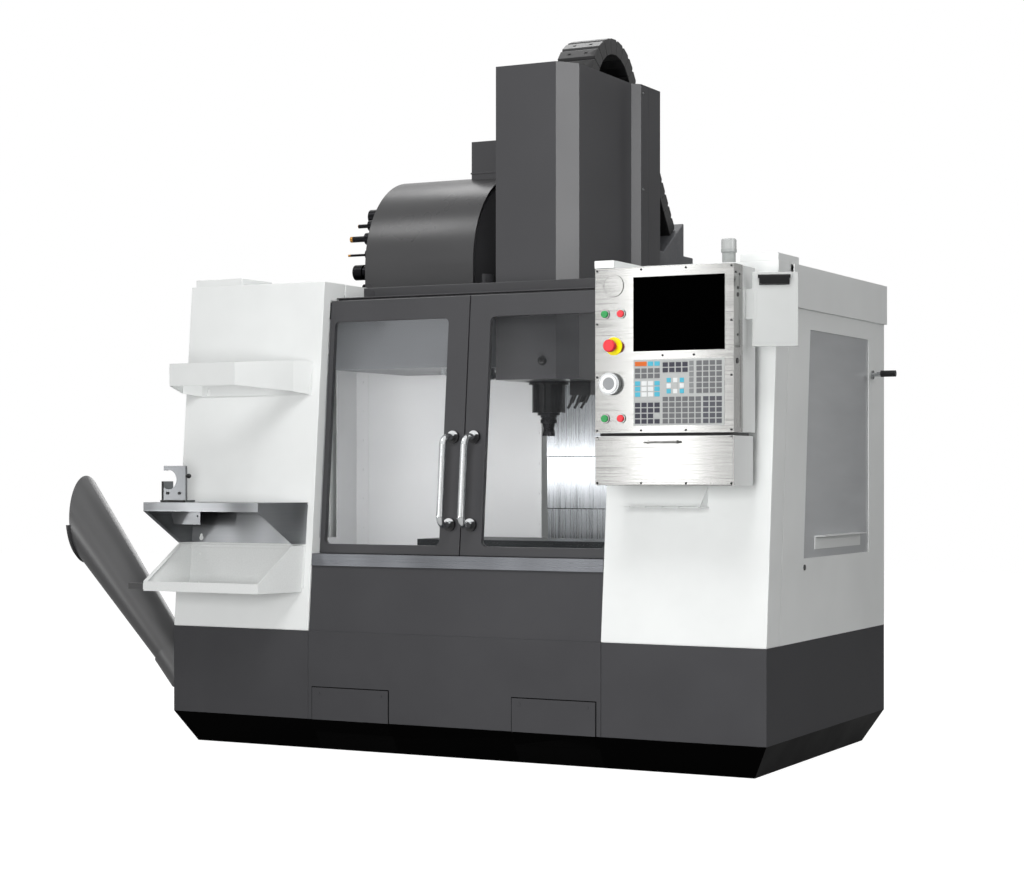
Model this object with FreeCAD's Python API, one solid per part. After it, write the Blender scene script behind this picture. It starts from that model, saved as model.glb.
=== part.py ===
import FreeCAD, Part
import math
import os

# Vertical machining centre: enclosed three axis mill with a side tool changer,
# a hanging control pendant, a chip chute and a stack of trays.
# Frame: origin on the floor at the centre of the base footprint, +X to the
# operator's right, +Y to the rear, +Z up. Millimetres.

Vec = FreeCAD.Vector

# ---- fits and sheet ----
seat = 0.3                # gap between bodies that move past each other
running_fit = 0.1         # radial clearance of turning shafts
sheet = 4.0               # folded cover sheet
thin_sheet = 3.0          # trays, faceplates and small brackets

# ---- base skirt ----
body_width = 2390.0
body_depth = 1274.0
base_height = 440.0
body_left = -body_width / 2
body_right = body_width / 2
body_front = -body_depth / 2
body_rear = body_depth / 2
toe_height = 116.0
toe_inset = 66.0
skirt_flange = 40.0
skirt_seam = 0.8
mitre_gap = 0.42
seam_groove = 4.0
fork_cover_width = 322.0
fork_cover_low = 68.0
fork_cover_top = 233.0
fork_cover_offset = 412.0
fork_slot_margin = 24.0
apron_setback = 6.0
apron_return = 90.0

# ---- base casting ----
casting_half = 560.0
casting_clear = 6.0
casting_front = body_front + 232.0
casting_low = 40.0
casting_deck = base_height - 60.0
bed_half = 300.0
bed_top = base_height + 30.0
rail_height = 34.0
rail_width = 38.0
y_rail_x = 210.0
pad_height = 14.0
pad_radius = 55.0
leveller_x = 535.0
leveller_y = (-380.0, 320.0, 1090.0)

# ---- enclosure ----
front_lean = 0.09         # the front slopes back this much per unit of height
panel_top = 1733.0
roof_top = 1731.0
opening_width = 1186.0
panel_return = 143.0
side_seam_setback = 122.0
header_height = 146.0
header_proud = 12.0
window_setback = 336.0
window_rear = body_rear - 187.0
window_low = 747.0
window_high = 1518.0
window_sill_low = 725.0
window_lap = 14.0
window_rise = 55.0
ledge_z = 800.0
ledge_reach = 30.0
sill_low = base_height + 238.0
sill_high = sill_low + 45.0
sill_depth = 130.0
inner_half_width = body_right - 59.0
inner_front = body_front + 207.0
inner_wall_low = bed_top + sheet
rear_wall_y = body_rear - 37.0
rear_gap_half = 246.0
rear_opening_half = 262.0
roof_box_height = 26.0
roof_box_depth = 207.0
hood_face_y = body_front + 395.0
hood_low = 1672.0
track_front = body_front + 213.0
track_depth = 30.0
track_low = 1600.0
latch_y = window_rear + 37.0
latch_z = 1388.0

# ---- doors ----
door_setback = 50.0
door_thickness = 30.0
door_low = sill_high + seat
door_high = 1662.0
door_gap = 4.0
door_stile = 84.0
door_edge_stile = 20.0
door_top_rail = 80.0
door_low_rail = 34.0
window_corner = 20.0
window_rebate = 14.0
glass_thickness = 6.0
handle_x = 43.0
handle_length = 315.0
handle_low = 834.0
handle_reach = 80.0
handle_bend = 34.0
handle_radius = 13.0
boss_radius = 23.0
boss_height = 12.0

# ---- machine axes ----
spindle_y = 163.0
table_length = 914.0
table_depth = 356.0
table_front = -65.0
table_thickness = 95.0
slot_width = 16.0
slot_pitch = 72.0
saddle_half = 590.0
saddle_top = bed_top + 146.0
table_top = saddle_top + 147.0
column_half_width = 222.0
column_front = body_rear + 29.0
column_rear = column_front + 421.0
column_top = 1924.0
z_rail_x = 160.0
z_rail_low = 760.0
z_cover_half = 218.0
z_cover_lows = (bed_top + 10.0, 871.0, 1084.0)
z_cover_highs = (1010.0, 1212.0, 1420.0)
z_cover_front = column_front - 72.0
z_cover_pitch = 3.4

# ---- head ----
cover_front = -87.0
cover_left = -101.0
cover_right = 153.0
cover_low = 1372.0
cover_high = 2562.0
bevel_side_x = 213.0
bevel_side_y = -10.0
cover_side_rear = 470.0
cover_wide_x = 242.0
cover_wide_y = 500.0
cover_rear = 691.0
cover_open_y = 538.0
flange_radius = 78.0
quill_radius = 65.0
spindle_nose = 1252.0
holder_radius = 32.5
cutter_radius = 25.0
cutter_low = 1162.0
head_arm_high = 1980.0
head_motor_high = 2330.0
head_block_high = 1900.0
head_block_front = 507.7
carriage_low = 1150.0
carriage_half = 200.0

# ---- energy chain ----
chain_left = 40.0
chain_right = 200.0
chain_radius = 189.0
chain_thick = 62.0
chain_hub_y = 340.0
chain_hub_z = 2495.0
chain_arc_end = 36.0
chain_arc_links = 9
chain_run_links = 13
chain_run = 726.5
chain_slope = 54.0
wedge_front = 778.0
wedge_rear = 989.0
wedge_height = 136.0

# ---- tool changer ----
changer_left = -750.0
changer_right = -262.0
changer_front = 29.0
changer_back = body_rear - 77.0
changer_radius = 380.0
changer_high = 2214.0
lower_box_left = -884.0
lower_box_right = -216.0
lower_box_front = 0.0
lower_box_rear = body_rear - 45.0
lower_box_low = 1430.0
lower_box_lid = 30.0
bulkhead_left = -312.0
bulkhead_right = -272.0
drum_y = 320.0
drum_z = 1860.0
drum_radius = 225.0
drum_face = -571.0
bulkhead_rear = 900.0
bulkhead_high = 2150.0
changer_beam_depth = 160.0
changer_beam_high = 1880.0
drive_left = -414.0
drive_front = 300.0
drive_depth = 170.0
drive_high = 2350.0
pot_count = 20
pot_radius = 27.0
arm_x = -290.0
arm_z = 1404.0
arm_reach = 290.0
claw_radius = 47.0

# ---- cabinet ----
cabinet_left = -820.0
cabinet_right = 640.0
cabinet_depth = 300.0
cabinet_high = 1660.0
vent_width = 240.0
vent_height = 300.0

# ---- pendant ----
pendant_left = body_right - 538.0
pendant_right = pendant_left + 494.0
pendant_front = body_front - 182.0
pendant_low = 979.0
pendant_split = pendant_low + 169.0
pendant_high = pendant_split + 552.0
split_gap = 11.0
flange_depth = 79.0
upper_rear = pendant_front + 215.0
lower_rear = pendant_front + 187.0
pivot_x = pendant_left + 33.0
pivot_y = pendant_front + 99.0
pivot_radius = 15.0
pendant_arm_low = pendant_high + 2.0
pendant_arm_high = pendant_arm_low + 25.0
pendant_arm_left = pendant_left - 2.0
pendant_arm_right = pendant_left + 68.0
hole_depth = 12.0
button_radius = 12.0
button_proud = 11.0
button_travel = 4.0
bezel_radius = 16.0
stop_radius = 21.0
stop_stem = 9.0
stop_travel = 5.0
dial_radius = 37.0
dial_shaft = 8.0
dial_notches = 36
flap_barrel = 1.8
screw_head = 3.6
screw_margin = 8.0
column_a = pendant_left + 37.0
column_b = pendant_left + 95.0
dial_x = pendant_left + 60.0
dial_z = pendant_split + 168.0
stop_x = pendant_left + 69.0
stop_z = pendant_split + 293.0
badge_x = pendant_left + 66.0
badge_z = pendant_split + 494.0
start_z = pendant_split + 53.0
power_z = pendant_split + 400.0
screen_left, screen_right = pendant_left + 139.0, pendant_left + 463.0
screen_low, screen_high = pendant_split + 274.0, pendant_split + 519.0
keys_left, keys_right = pendant_left + 140.0, pendant_left + 462.0
keys_low, keys_high = pendant_split + 28.0, pendant_split + 246.0
flange_slot_low, flange_slot_high = pendant_split + 20.0, pendant_split + 254.0
key_thick = 1.4
key_width, key_height = 18.5, 14.5
key_pitch_x, key_pitch_z = 23.3, 18.2
board_width = 148.0
board_height = 243.0
board_x = pendant_right + 23.0
board_y = pendant_front + 107.0
board_low = pendant_split + 286.0
board_turn = 20.0
beacon_x = body_right - 210.0
beacon_y = body_front + 197.0

# ---- trays on the left front panel ----
tray_left = body_left - 6.0
tray_right = tray_left + 511.0
tray_front = body_front - 183.0
tray_depth = 220.0
tray_skew = 70.0          # the trays' side walls run this far to the right on their way back
tray_foot = 60.0
tray_hem = 16.0
work_table_top = 910.0
work_table_lip = 33.0
work_table_back = 757.0
bin_low = 580.0
bin_lip = 36.0
bin_back = 750.0
rack_low = 1309.0
rack_front_low = 1341.0
rack_front_high = 1424.0
rack_high = 1438.0
vise_x = tray_left + 100.0
vise_y = tray_front + 50.0

# ---- chip chute and conveyor ----
chute_y = body_front + 102.0
chute_angle = 50.0
chute_low_radius = 69.0
chute_high_radius = 106.0
chute_anchor_x = body_left - 75.0
chute_anchor_z = 326.0
chute_end_x = chute_anchor_x - 424.0
chute_foot = -110.0
chute_wall = 4.0
port_clear = 8.0
auger_z = 196.0
auger_radius = 76.0
auger_shaft = 16.0
auger_pitch = 150.0
auger_turns = 12
trough_radius = 92.0
trough_half = inner_half_width - 1.0
trough_top = base_height - 4.5
pan_low = base_height + 6.0
pan_high = bed_top + 30.0

opening_half = opening_width / 2
header_low = roof_top - header_height
z_rail_front = column_front - rail_height
upper_low = pendant_split + 5.0
lower_high = upper_low - split_gap
face_back = pendant_front + thin_sheet
button_places = {"power_on_button": (column_a, power_z), "power_off_button": (column_b, power_z),
                 "cycle_start_button": (column_a, start_z), "feed_hold_button": (column_b, start_z)}
bolt_pitch = (pendant_right - pendant_left - 2 * screw_margin) / 3


# ---- shape helpers ----
def box(x0, y0, z0, x1, y1, z1):
    return Part.makeBox(x1 - x0, y1 - y0, z1 - z0, Vec(x0, y0, z0))


def rod(radius, start, end):
    start, end = Vec(*start), Vec(*end)
    return Part.makeCylinder(radius, (end - start).Length, start, end - start)


def face_of(points):
    return Part.Face(Part.makePolygon([Vec(*p) for p in points + points[:1]]))


def prism_x(outline, x0, x1):
    """Extrude a (y, z) outline from x0 to x1."""
    return face_of([(x0, y, z) for y, z in outline]).extrude(Vec(x1 - x0, 0, 0))


def prism_y(outline, y0, y1):
    return face_of([(x, y0, z) for x, z in outline]).extrude(Vec(0, y1 - y0, 0))


def prism_z(outline, z0, z1):
    return face_of([(x, y, z0) for x, y in outline]).extrude(Vec(0, 0, z1 - z0))


def joined(shapes):
    shapes = list(shapes)
    whole = shapes[0]
    if len(shapes) > 1:
        whole = whole.fuse(shapes[1:])
    return whole.removeSplitter()


def group(shapes):
    solids = []
    for shape in shapes:
        solids += shape.Solids
    return Part.makeCompound(solids)


def mirrored(shape):
    return shape.mirror(Vec(0, 0, 0), Vec(1, 0, 0))


def handed(shape, side):
    """The shape as drawn for the right side, mirrored for the left one."""
    return shape if side > 0 else mirrored(shape)


def front_y(z):
    """Outside face of the leaning front at height z."""
    return body_front + front_lean * (z - base_height)


def leaning_slab(x0, x1, z0, z1, setback, thickness):
    """Plate parallel to the leaning front, its face set back from it."""
    near0, near1 = front_y(z0) + setback, front_y(z1) + setback
    outline = [(near0, z0), (near1, z1), (near1 + thickness, z1), (near0 + thickness, z0)]
    return prism_x(outline, x0, x1)


def rounded_opening(x0, x1, z0, z1, radius, y0, y1):
    """Cutter along Y with rounded corners."""
    block = box(x0, y0, z0, x1, y1, z1)
    upright = [e for e in block.Edges if abs(e.tangentAt(e.FirstParameter).y) > 0.99]
    return block.makeFillet(radius, upright)


def save(name, shape):
    shape.exportStep("parts/" + name + ".step")


# ---- base ----
def skirt_shell(inset):
    """Solid inside the skirt at a given inset from its outer face."""
    x, front, rear = body_right - inset, body_front + inset, body_rear - inset
    side = [(front, toe_height), (front, base_height), (rear, base_height), (rear, toe_height),
            (rear - toe_inset, 0), (front + toe_inset, 0)]
    across = [(-x, toe_height), (-x, base_height), (x, base_height), (x, toe_height),
              (x - toe_inset, 0), (-x + toe_inset, 0)]
    return prism_x(side, -x, x).common(prism_y(across, front, rear))


def skirt_rim(half_x, half_y, z0):
    """Flat ring turned in from a skirt edge."""
    ring = box(-half_x, -half_y, z0, half_x, half_y, z0 + sheet)
    x, y = half_x - skirt_flange, half_y - skirt_flange
    return ring.cut(box(-x, -y, z0, x, y, z0 + sheet))


def front_apron():
    """Set back panel between the skirt and the door sill, with folded ends."""
    half = opening_half - 1
    face = leaning_slab(-half, half, base_height, sill_low, apron_setback, sheet)
    ends = [leaning_slab(x, x + sheet, base_height, sill_low, apron_setback, apron_return)
            for x in (-half, half - sheet)]
    rim = leaning_slab(-half, half, base_height, base_height + sheet, apron_setback, apron_return)
    return joined([face, rim] + ends)


def skirt_seams():
    """Cutters between the skirt's sheets: the toe line and the four mitred corners."""
    seams = [box(body_left - 1, body_front - 1, toe_height, body_right + 1, body_rear + 1,
                 toe_height + seat)]
    reach = toe_inset + skirt_flange + 4
    for side in (-1, 1):
        for end in (-1, 1):
            x0, y0 = side * (body_right + 1), end * (body_rear + 1)
            x1, y1 = x0 - side * reach, y0 - end * reach
            corner = [(x0, y0), (x0, y0 - end * mitre_gap), (x1, y1 - end * mitre_gap), (x1, y1)]
            seams.append(prism_z(corner, toe_height, base_height + 1))
    return seams


def base_skirt():
    skirt = skirt_shell(0).cut(skirt_shell(sheet))
    low_rim = skirt_rim(body_right - toe_inset, body_rear - toe_inset, 0)
    top_rim = skirt_rim(body_right, body_rear, base_height - sheet)
    skirt = joined([skirt, low_rim, top_rim])
    way = casting_half + casting_clear
    skirt = skirt.cut(box(-way, body_rear - 2 * toe_inset, 0, way, body_rear, base_height))
    for x in (-opening_half, opening_half):
        groove = [(x - seam_groove / 2, body_front), (x, body_front + seam_groove / 2),
                  (x + seam_groove / 2, body_front)]
        skirt = skirt.cut(prism_z(groove, toe_height, base_height))
        skirt = skirt.cut(box(x - skirt_seam / 2, body_front, toe_height, x + skirt_seam / 2,
                              body_front + 2 * sheet, base_height - sheet))
    half = fork_cover_width / 2 - fork_slot_margin
    for x in (-fork_cover_offset, fork_cover_offset):
        skirt = skirt.cut(box(x - half, body_front - 1, toe_height + 6, x + half,
                              body_front + 2 * sheet, fork_cover_top - fork_slot_margin))
    port = chute_frustum(chute_low_radius + port_clear, chute_low_radius + port_clear, -200, 0)
    port = port.common(box(body_left - 1, body_front, toe_height + 1, body_left + 2 * sheet,
                           0, base_height - 2 * sheet))
    return group([skirt.cut([port] + skirt_seams()), front_apron()])


def base_casting():
    """Cast bed with its pedestal for the column and two ground rails."""
    rear = column_rear + 30
    pedestal_front = column_front - 40
    bed = box(-casting_half, casting_front, casting_low, casting_half, rear, casting_deck)
    way = box(-bed_half, casting_front + 60, casting_deck, bed_half, pedestal_front, bed_top)
    pedestal = box(-column_half_width - 60, pedestal_front, casting_deck,
                   column_half_width + 60, rear, bed_top)
    rails = [box(x - rail_width / 2, casting_front + 70, bed_top, x + rail_width / 2,
                 z_cover_front - 12, bed_top + rail_height) for x in (-y_rail_x, y_rail_x)]
    return joined([bed, way, pedestal] + rails)


def levelling_screws():
    """Round pads, each with its screw, under the rim of the casting."""
    pads = []
    for x in (-leveller_x, leveller_x):
        for y in leveller_y:
            pad = Part.makeCone(pad_radius, pad_radius - 12, pad_height, Vec(x, y, 0))
            screw = rod(15, (x, y, pad_height), (x, y, casting_low))
            pads.append(joined([pad, screw]))
    return group(pads)


def fork_covers():
    """Two folded covers that follow the skirt's face and its toe slope."""
    covers = []
    half = fork_cover_width / 2
    low_y = body_front + (toe_height - fork_cover_low) * toe_inset / toe_height
    for x in (-fork_cover_offset, fork_cover_offset):
        inner = [(body_front, fork_cover_top), (body_front, toe_height), (low_y, fork_cover_low)]
        outer = [(y - thin_sheet, z) for y, z in reversed(inner)]
        cover = prism_x(inner + outer, x - half, x + half)
        heads = [rod(5, (x + dx, body_front - thin_sheet - 2.5, fork_cover_top - 20),
                     (x + dx, body_front, fork_cover_top - 20)) for dx in (-half + 30, half - 30)]
        covers.append(joined([cover] + heads))
    return group(covers)


# ---- enclosure ----
def door_sill():
    """Folded stainless sill: a front lip, a top shelf and a rear drip edge."""
    half = opening_half - 1
    lip = leaning_slab(-half, half, sill_low, sill_high, 0, thin_sheet)
    top = leaning_slab(-half, half, sill_high - thin_sheet, sill_high, 0, sill_depth)
    foot = leaning_slab(-half, half, sill_low, sill_low + thin_sheet, 0, 40)
    back = leaning_slab(-half, half, sill_low - 40, sill_high, sill_depth - thin_sheet, thin_sheet)
    return joined([lip, top, foot, back])


def roof_box(x0, x1):
    """Low lidded box on the front corner of the roof."""
    y0 = front_y(panel_top) + 1
    return box(x0, y0, panel_top, x1, y0 + roof_box_depth, panel_top + roof_box_height)


def front_panel(side):
    """White front panel: face, door reveal, side return, top fold and the box on its corner."""
    inner, outer = opening_half, body_right
    face = leaning_slab(inner, outer, base_height, panel_top, 0, sheet)
    reveal = leaning_slab(inner, inner + sheet, base_height, panel_top, 0, door_setback - 1.5)
    high_reveal = leaning_slab(inner, inner + sheet, door_high + 2, panel_top, 0, panel_return)
    wrap = leaning_slab(outer - sheet, outer, base_height, panel_top, 0, side_seam_setback)
    top = leaning_slab(inner, outer, panel_top - sheet, panel_top, 0, panel_return)
    panel = handed(joined([face, reveal, high_reveal, wrap, top]), side)
    lid = (roof_box(body_right - 139, body_right - 2) if side > 0
           else roof_box(body_left + 19, body_left + 231))
    return group([panel, lid])


def window_channels():
    """Upright guides and a rest on the inside of a side wall for its sliding pane."""
    x1 = body_right - sheet
    x0 = x1 - glass_thickness - 6.2
    lip_x = x0 + sheet
    front = front_y(window_low) + window_setback - window_lap
    rear = window_rear + window_lap
    low, high = base_height + sheet, header_low
    strips = [box(x0, rear + 0.6, low, x1, rear + 12, high),
              box(x0, rear - 12, low, lip_x, rear + 12, high),
              box(x0, front - 12, low, x1, front - 0.6, high),
              box(x0, front - 12, low, lip_x, front + 12, high)]
    pane_low = window_low - 30
    strips.append(box(x0, front - 12, pane_low - 20, x1, rear + 12, pane_low - seat))
    return strips


def side_panel():
    """Right side wall with its leaning window opening, pane guides and proud header."""
    seam = side_seam_setback + 1
    outline = [(front_y(base_height) + seam, base_height), (front_y(header_low) + seam, header_low),
               (body_rear, header_low), (body_rear, base_height)]
    wall = prism_x(outline, body_right - sheet, body_right)
    win = [(front_y(window_low) + window_setback, window_sill_low),
           (front_y(window_high) + window_setback, window_high),
           (window_rear, window_high), (window_rear, window_sill_low)]
    wall = wall.cut(prism_x(win, body_right - 2 * sheet, body_right + sheet))
    head_x = body_right + header_proud
    step = box(body_right - sheet, front_y(header_low) + seam, header_low, head_x, body_rear,
               header_low + sheet)
    seam_high = front_y(panel_top) + seam
    head = prism_x([(seam_high - 8, header_low), (seam_high, roof_top), (body_rear, roof_top),
                    (body_rear, header_low)], head_x - sheet, head_x)
    low_fold = box(body_right - skirt_flange, front_y(base_height) + seam, base_height, body_right,
                   body_rear, base_height + sheet)
    rear_fold = box(body_right - skirt_flange, body_rear - sheet, base_height, body_right, body_rear,
                    header_low)
    return joined([wall, step, head, low_fold, rear_fold] + window_channels())


def side_panels():
    """Both side walls; the right one has the pin hole of the window latch and a round plug."""
    wall = side_panel()
    plug = rod(10, (body_right, body_front + 369, sill_low + 16),
               (body_right + 3, body_front + 369, sill_low + 16))
    right = joined([wall, plug]).cut(rod(7 + seat, (body_right - 2 * sheet, latch_y, latch_z),
                                         (body_right + 1, latch_y, latch_z)))
    return group([right, mirrored(wall)])


def side_window(side):
    """Sliding pane behind the wall; the right one carries a folded pull ledge."""
    x1 = body_right - sheet - 0.6
    x0 = x1 - glass_thickness
    front = front_y(window_low) + window_setback - window_lap
    pane = box(x0, front, window_low - 30, x1, window_rear + window_lap, window_high + window_lap)
    if side < 0:
        return mirrored(pane)
    y0, y1 = -150.0, 352.0
    web = box(x1, y0, window_low + 6, x1 + thin_sheet, y1, ledge_z)
    shelf = prism_z([(x1, y0), (x1 + ledge_reach, y0 + 30), (x1 + ledge_reach, y1 - 6), (x1, y1)],
                    ledge_z - thin_sheet, ledge_z)
    return group([pane, joined([web, shelf])])


def window_latch():
    """Crank latch: pin through the side wall, washer, lever arm and round grip."""
    wall = body_right
    pin = rod(7, (wall - sheet, latch_y, latch_z), (wall + 60, latch_y, latch_z))
    washer = rod(17, (wall + seat, latch_y, latch_z), (wall + 5, latch_y, latch_z))
    arm = box(wall + 46, latch_y - 88, latch_z - 6, wall + 60, latch_y, latch_z + 6)
    grip = rod(12, (wall + 60, latch_y - 78, latch_z), (wall + 116, latch_y - 78, latch_z))
    return joined([pin, washer, arm, grip])


def rear_and_roof():
    """Rear wall with its column gap, and the left and right roof sheets."""
    y0, y1 = body_rear - sheet, body_rear
    inner, outer = rear_opening_half, body_right + header_proud - sheet - seat
    wall = box(inner, y0, base_height, body_right - skirt_flange - seat, y1, roof_top)
    wall = wall.cut(box(0, y0 - 1, base_height, column_half_width + 66, y1 + 1, bed_top + 6))
    high_wall = box(inner, y0, header_low + sheet + seat, outer, y1, roof_top)
    roof = box(opening_half - 1, front_y(roof_top) + panel_return + 1, roof_top - sheet, outer, y1,
               roof_top)
    edge = box(opening_half - 1, front_y(roof_top) + panel_return + 1, roof_top - 60,
               opening_half - 1 + sheet, rear_wall_y - seat, roof_top)
    right = joined([wall, high_wall, roof, edge])
    notch = box(lower_box_left - 6, lower_box_front - 6, roof_top - 70, -opening_half + 10,
                lower_box_rear + 6, roof_top + 1)
    return group([right, mirrored(right).cut(notch)])


def hood_beam():
    """Dark hood behind the door heads with the door track under it, reaching the inner walls."""
    half = opening_half - 1
    top = roof_top - thin_sheet
    upright = box(-half, hood_face_y, hood_low, half, hood_face_y + sheet, top)
    top_fold = box(-half, hood_face_y, top - sheet, half, hood_face_y + 60, top)
    shelf = box(-half, track_front - 16, hood_low, half, hood_face_y + sheet, hood_low + sheet)
    web = box(-half, track_front, door_high, half, track_front + track_depth, hood_low)
    track = box(-inner_half_width, track_front, track_low, inner_half_width,
                track_front + track_depth, door_high)
    return joined([upright, top_fold, shelf, web, track])


def pane_limits(margin):
    """X and Z limits of the right door's window opening, widened by a margin."""
    return (door_gap / 2 + door_stile - margin, opening_half - 2 - door_edge_stile + margin,
            door_low + door_low_rail - margin, door_high - door_top_rail + margin)


def door(side):
    """Door leaf with a window opening and two track hangers; its middle stile is the wide one."""
    x0, x1 = door_gap / 2, opening_half - 2
    leaf = leaning_slab(x0, x1, door_low, door_high, door_setback, door_thickness)
    leaf = leaf.cut(rounded_opening(*pane_limits(0), window_corner, body_front, 0))
    leaf = leaf.cut(leaning_slab(*pane_limits(window_rebate), door_setback + door_thickness
                                 - glass_thickness - 2, 40))
    hanger_y = front_y(door_high) + door_setback + door_thickness - 10
    hangers = [box(x - 30, hanger_y, door_high - 40, x + 30, track_front - seat, door_high - 6)
               for x in (x0 + 60, x1 - 60)]
    return handed(joined([leaf] + hangers), side)


def door_window(side):
    pane = leaning_slab(*pane_limits(window_rebate - 1),
                        door_setback + door_thickness - glass_thickness - 2, glass_thickness)
    return handed(pane, side)


def handle_tube():
    """Round tube bent at both ends, standing off the door between its bosses."""
    z0, z1 = handle_low, handle_low + handle_length
    root, out = door_setback - boss_height, door_setback - handle_reach
    a, b = Vec(handle_x, front_y(z0) + root, z0), Vec(handle_x, front_y(z0) + out, z0)
    c, d = Vec(handle_x, front_y(z1) + out, z1), Vec(handle_x, front_y(z1) + root, z1)
    along = (c - b).normalize()
    inward = Vec(0, 1, 0)
    k = 1 - math.sqrt(0.5)
    b_in, b_up = b + inward * handle_bend, b + along * handle_bend
    c_in, c_down = c + inward * handle_bend, c - along * handle_bend
    b_mid = b + (inward + along) * (handle_bend * k)
    c_mid = c + (inward - along) * (handle_bend * k)
    path = Part.Wire([Part.makeLine(a, b_in), Part.Arc(b_in, b_mid, b_up).toShape(),
                      Part.makeLine(b_up, c_down), Part.Arc(c_down, c_mid, c_in).toShape(),
                      Part.makeLine(c_in, d)])
    ring = Part.Wire([Part.makeCircle(handle_radius, a, Vec(0, -1, 0))])
    return path.makePipeShell([ring], True, True)


def door_handle(side):
    """Bent tube handle with its two round bosses."""
    tube = handle_tube()
    pieces = [tube]
    for z in (handle_low, handle_low + handle_length):
        y = front_y(z) + door_setback
        boss = rod(boss_radius, (handle_x, y - boss_height, z), (handle_x, y + 6, z))
        boss = boss.cut(leaning_slab(handle_x - 40, handle_x + 40, z - 60, z + 60,
                                     door_setback, 40))
        pieces.append(boss.cut(tube))
    return handed(group(pieces), side)


def inner_walls():
    """Liner of the work space: side and rear walls, fixing strips, chip pans and the trough."""
    high = roof_top - sheet
    x = inner_half_width
    side = box(x, inner_front, base_height + sheet, x + sheet, rear_wall_y + sheet, high)
    hatch = prism_x([(front_y(window_low) + window_setback + 10, window_low),
                     (front_y(window_high) + window_setback + 10, window_high),
                     (window_rear - 10, window_high), (window_rear - 10, window_low)],
                    x - 1, x + sheet + 1)
    rear = box(rear_gap_half, rear_wall_y, inner_wall_low, x + sheet, rear_wall_y + sheet, high)
    corner = box(x - 60, rear_wall_y - 3, inner_wall_low + 40, x, rear_wall_y, high)
    strip = box(rear_gap_half, rear_wall_y - 6, inner_wall_low + 40, rear_gap_half + 30,
                rear_wall_y, high - 300)
    heads = []
    for i in range(6):
        z = 781.0 + i * 125.0
        heads.append(rod(7, (x - 30, rear_wall_y - 6, z), (x - 30, rear_wall_y - 3, z)))
        heads.append(rod(7, (rear_gap_half + 15, rear_wall_y - 9, z - 100),
                         (rear_gap_half + 15, rear_wall_y - 6, z - 100)))
    half = joined([side.cut(hatch), rear, corner, strip] + heads)
    return group([half, mirrored(half), chip_pan()])


def chip_pan():
    """Sloping floor that sheds chips to the round bottomed trough, with the conveyor bearings."""
    y0, y1 = chute_y - trough_radius, chute_y + trough_radius
    low, high = pan_low, pan_high
    pan = prism_x([(y1 - sheet, low), (rear_wall_y, high), (rear_wall_y, high + sheet),
                   (y1 - sheet, low + sheet)], bed_half, inner_half_width)
    upstand = box(bed_half, y1 - sheet, auger_z, trough_half, y1, low + sheet)
    gutter = rod(trough_radius, (-trough_half, chute_y, auger_z), (trough_half, chute_y, auger_z))
    gutter = gutter.cut(rod(trough_radius - sheet, (-trough_half, chute_y, auger_z),
                            (trough_half, chute_y, auger_z)))
    gutter = gutter.common(box(-trough_half, y0, auger_z - trough_radius, trough_half, y1, auger_z))
    front_wall = box(-trough_half, y0, auger_z, trough_half, y0 + sheet, trough_top)
    back_wall = box(-trough_half, y1 - sheet, auger_z, trough_half, y1, trough_top)
    end = box(trough_half - sheet, y0, auger_z, trough_half, y1, trough_top)
    end_foot = rod(trough_radius, (trough_half - sheet, chute_y, auger_z),
                   (trough_half, chute_y, auger_z))
    bars = [box(x, y0, auger_z - 24, x + 10, y1, auger_z + 24) for x in (-trough_half + 6,
                                                                       trough_half - 22)]
    pan_set = joined([pan, mirrored(pan), upstand, mirrored(upstand), gutter, front_wall, back_wall,
                      end, end_foot] + bars)
    return pan_set.cut(rod(auger_shaft + running_fit, (-trough_half - 1, chute_y, auger_z),
                           (trough_half + 1, chute_y, auger_z)))


# ---- column, head and spindle ----
def column():
    """Cast column with vertical rails and the wedge that holds the fixed end of the chain."""
    body = box(-column_half_width, column_front, bed_top, column_half_width, column_rear, column_top)
    rails = [box(x - rail_width / 2, z_rail_front, z_rail_low, x + rail_width / 2, column_front,
                 column_top - 24) for x in (-z_rail_x, z_rail_x)]
    wedge = prism_x([(wedge_front, column_top), (wedge_rear, column_top),
                     (wedge_rear, column_top + wedge_height)], chain_left - 10, column_half_width)
    return joined([body] + rails + [wedge])


def head_casting():
    """Spindle head casting with its carriage, motor, cover stays and coolant nozzles."""
    rear = z_rail_front - seat
    arm = box(-85, spindle_y - 110, z_cover_highs[2], 120, rear, head_arm_high)
    block = box(-carriage_half, head_block_front, z_cover_highs[2], carriage_half, rear,
                head_block_high)
    carriage = box(-carriage_half, rear_wall_y, carriage_low, carriage_half, rear, head_block_high)
    nose = rod(88, (0, spindle_y, 1376), (0, spindle_y, 1424))
    flange = rod(flange_radius, (0, spindle_y, 1360), (0, spindle_y, 1376))
    quill = rod(quill_radius, (0, spindle_y, spindle_nose), (0, spindle_y, 1360))
    motor = rod(90, (0, spindle_y, head_arm_high), (0, spindle_y, head_motor_high))
    stays = [box(cover_left + sheet, 100, z, bevel_side_x - sheet, 140, z + 60)
             for z in (1500, 1880)]
    casting = joined([arm, block, carriage, nose, flange, quill, motor] + stays)
    return group([casting, coolant_nozzles()])


def coolant_nozzles():
    """Coolant block under the head cover with three angled nozzles."""
    y = spindle_y - 20
    pieces = [box(112, spindle_y - 45, 1318, 200, spindle_y + 35, cover_low),
              rod(16, (150, spindle_y - 5, 1290), (150, spindle_y - 5, 1318))]
    for i in range(3):
        x = 122 + 28 * i
        pieces.append(rod(9, (x, y, 1320), (x - 14, y, 1292)))
        pieces.append(rod(5, (x - 14, y, 1293), (x - 30, y, 1268)))
    return joined(pieces)


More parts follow.
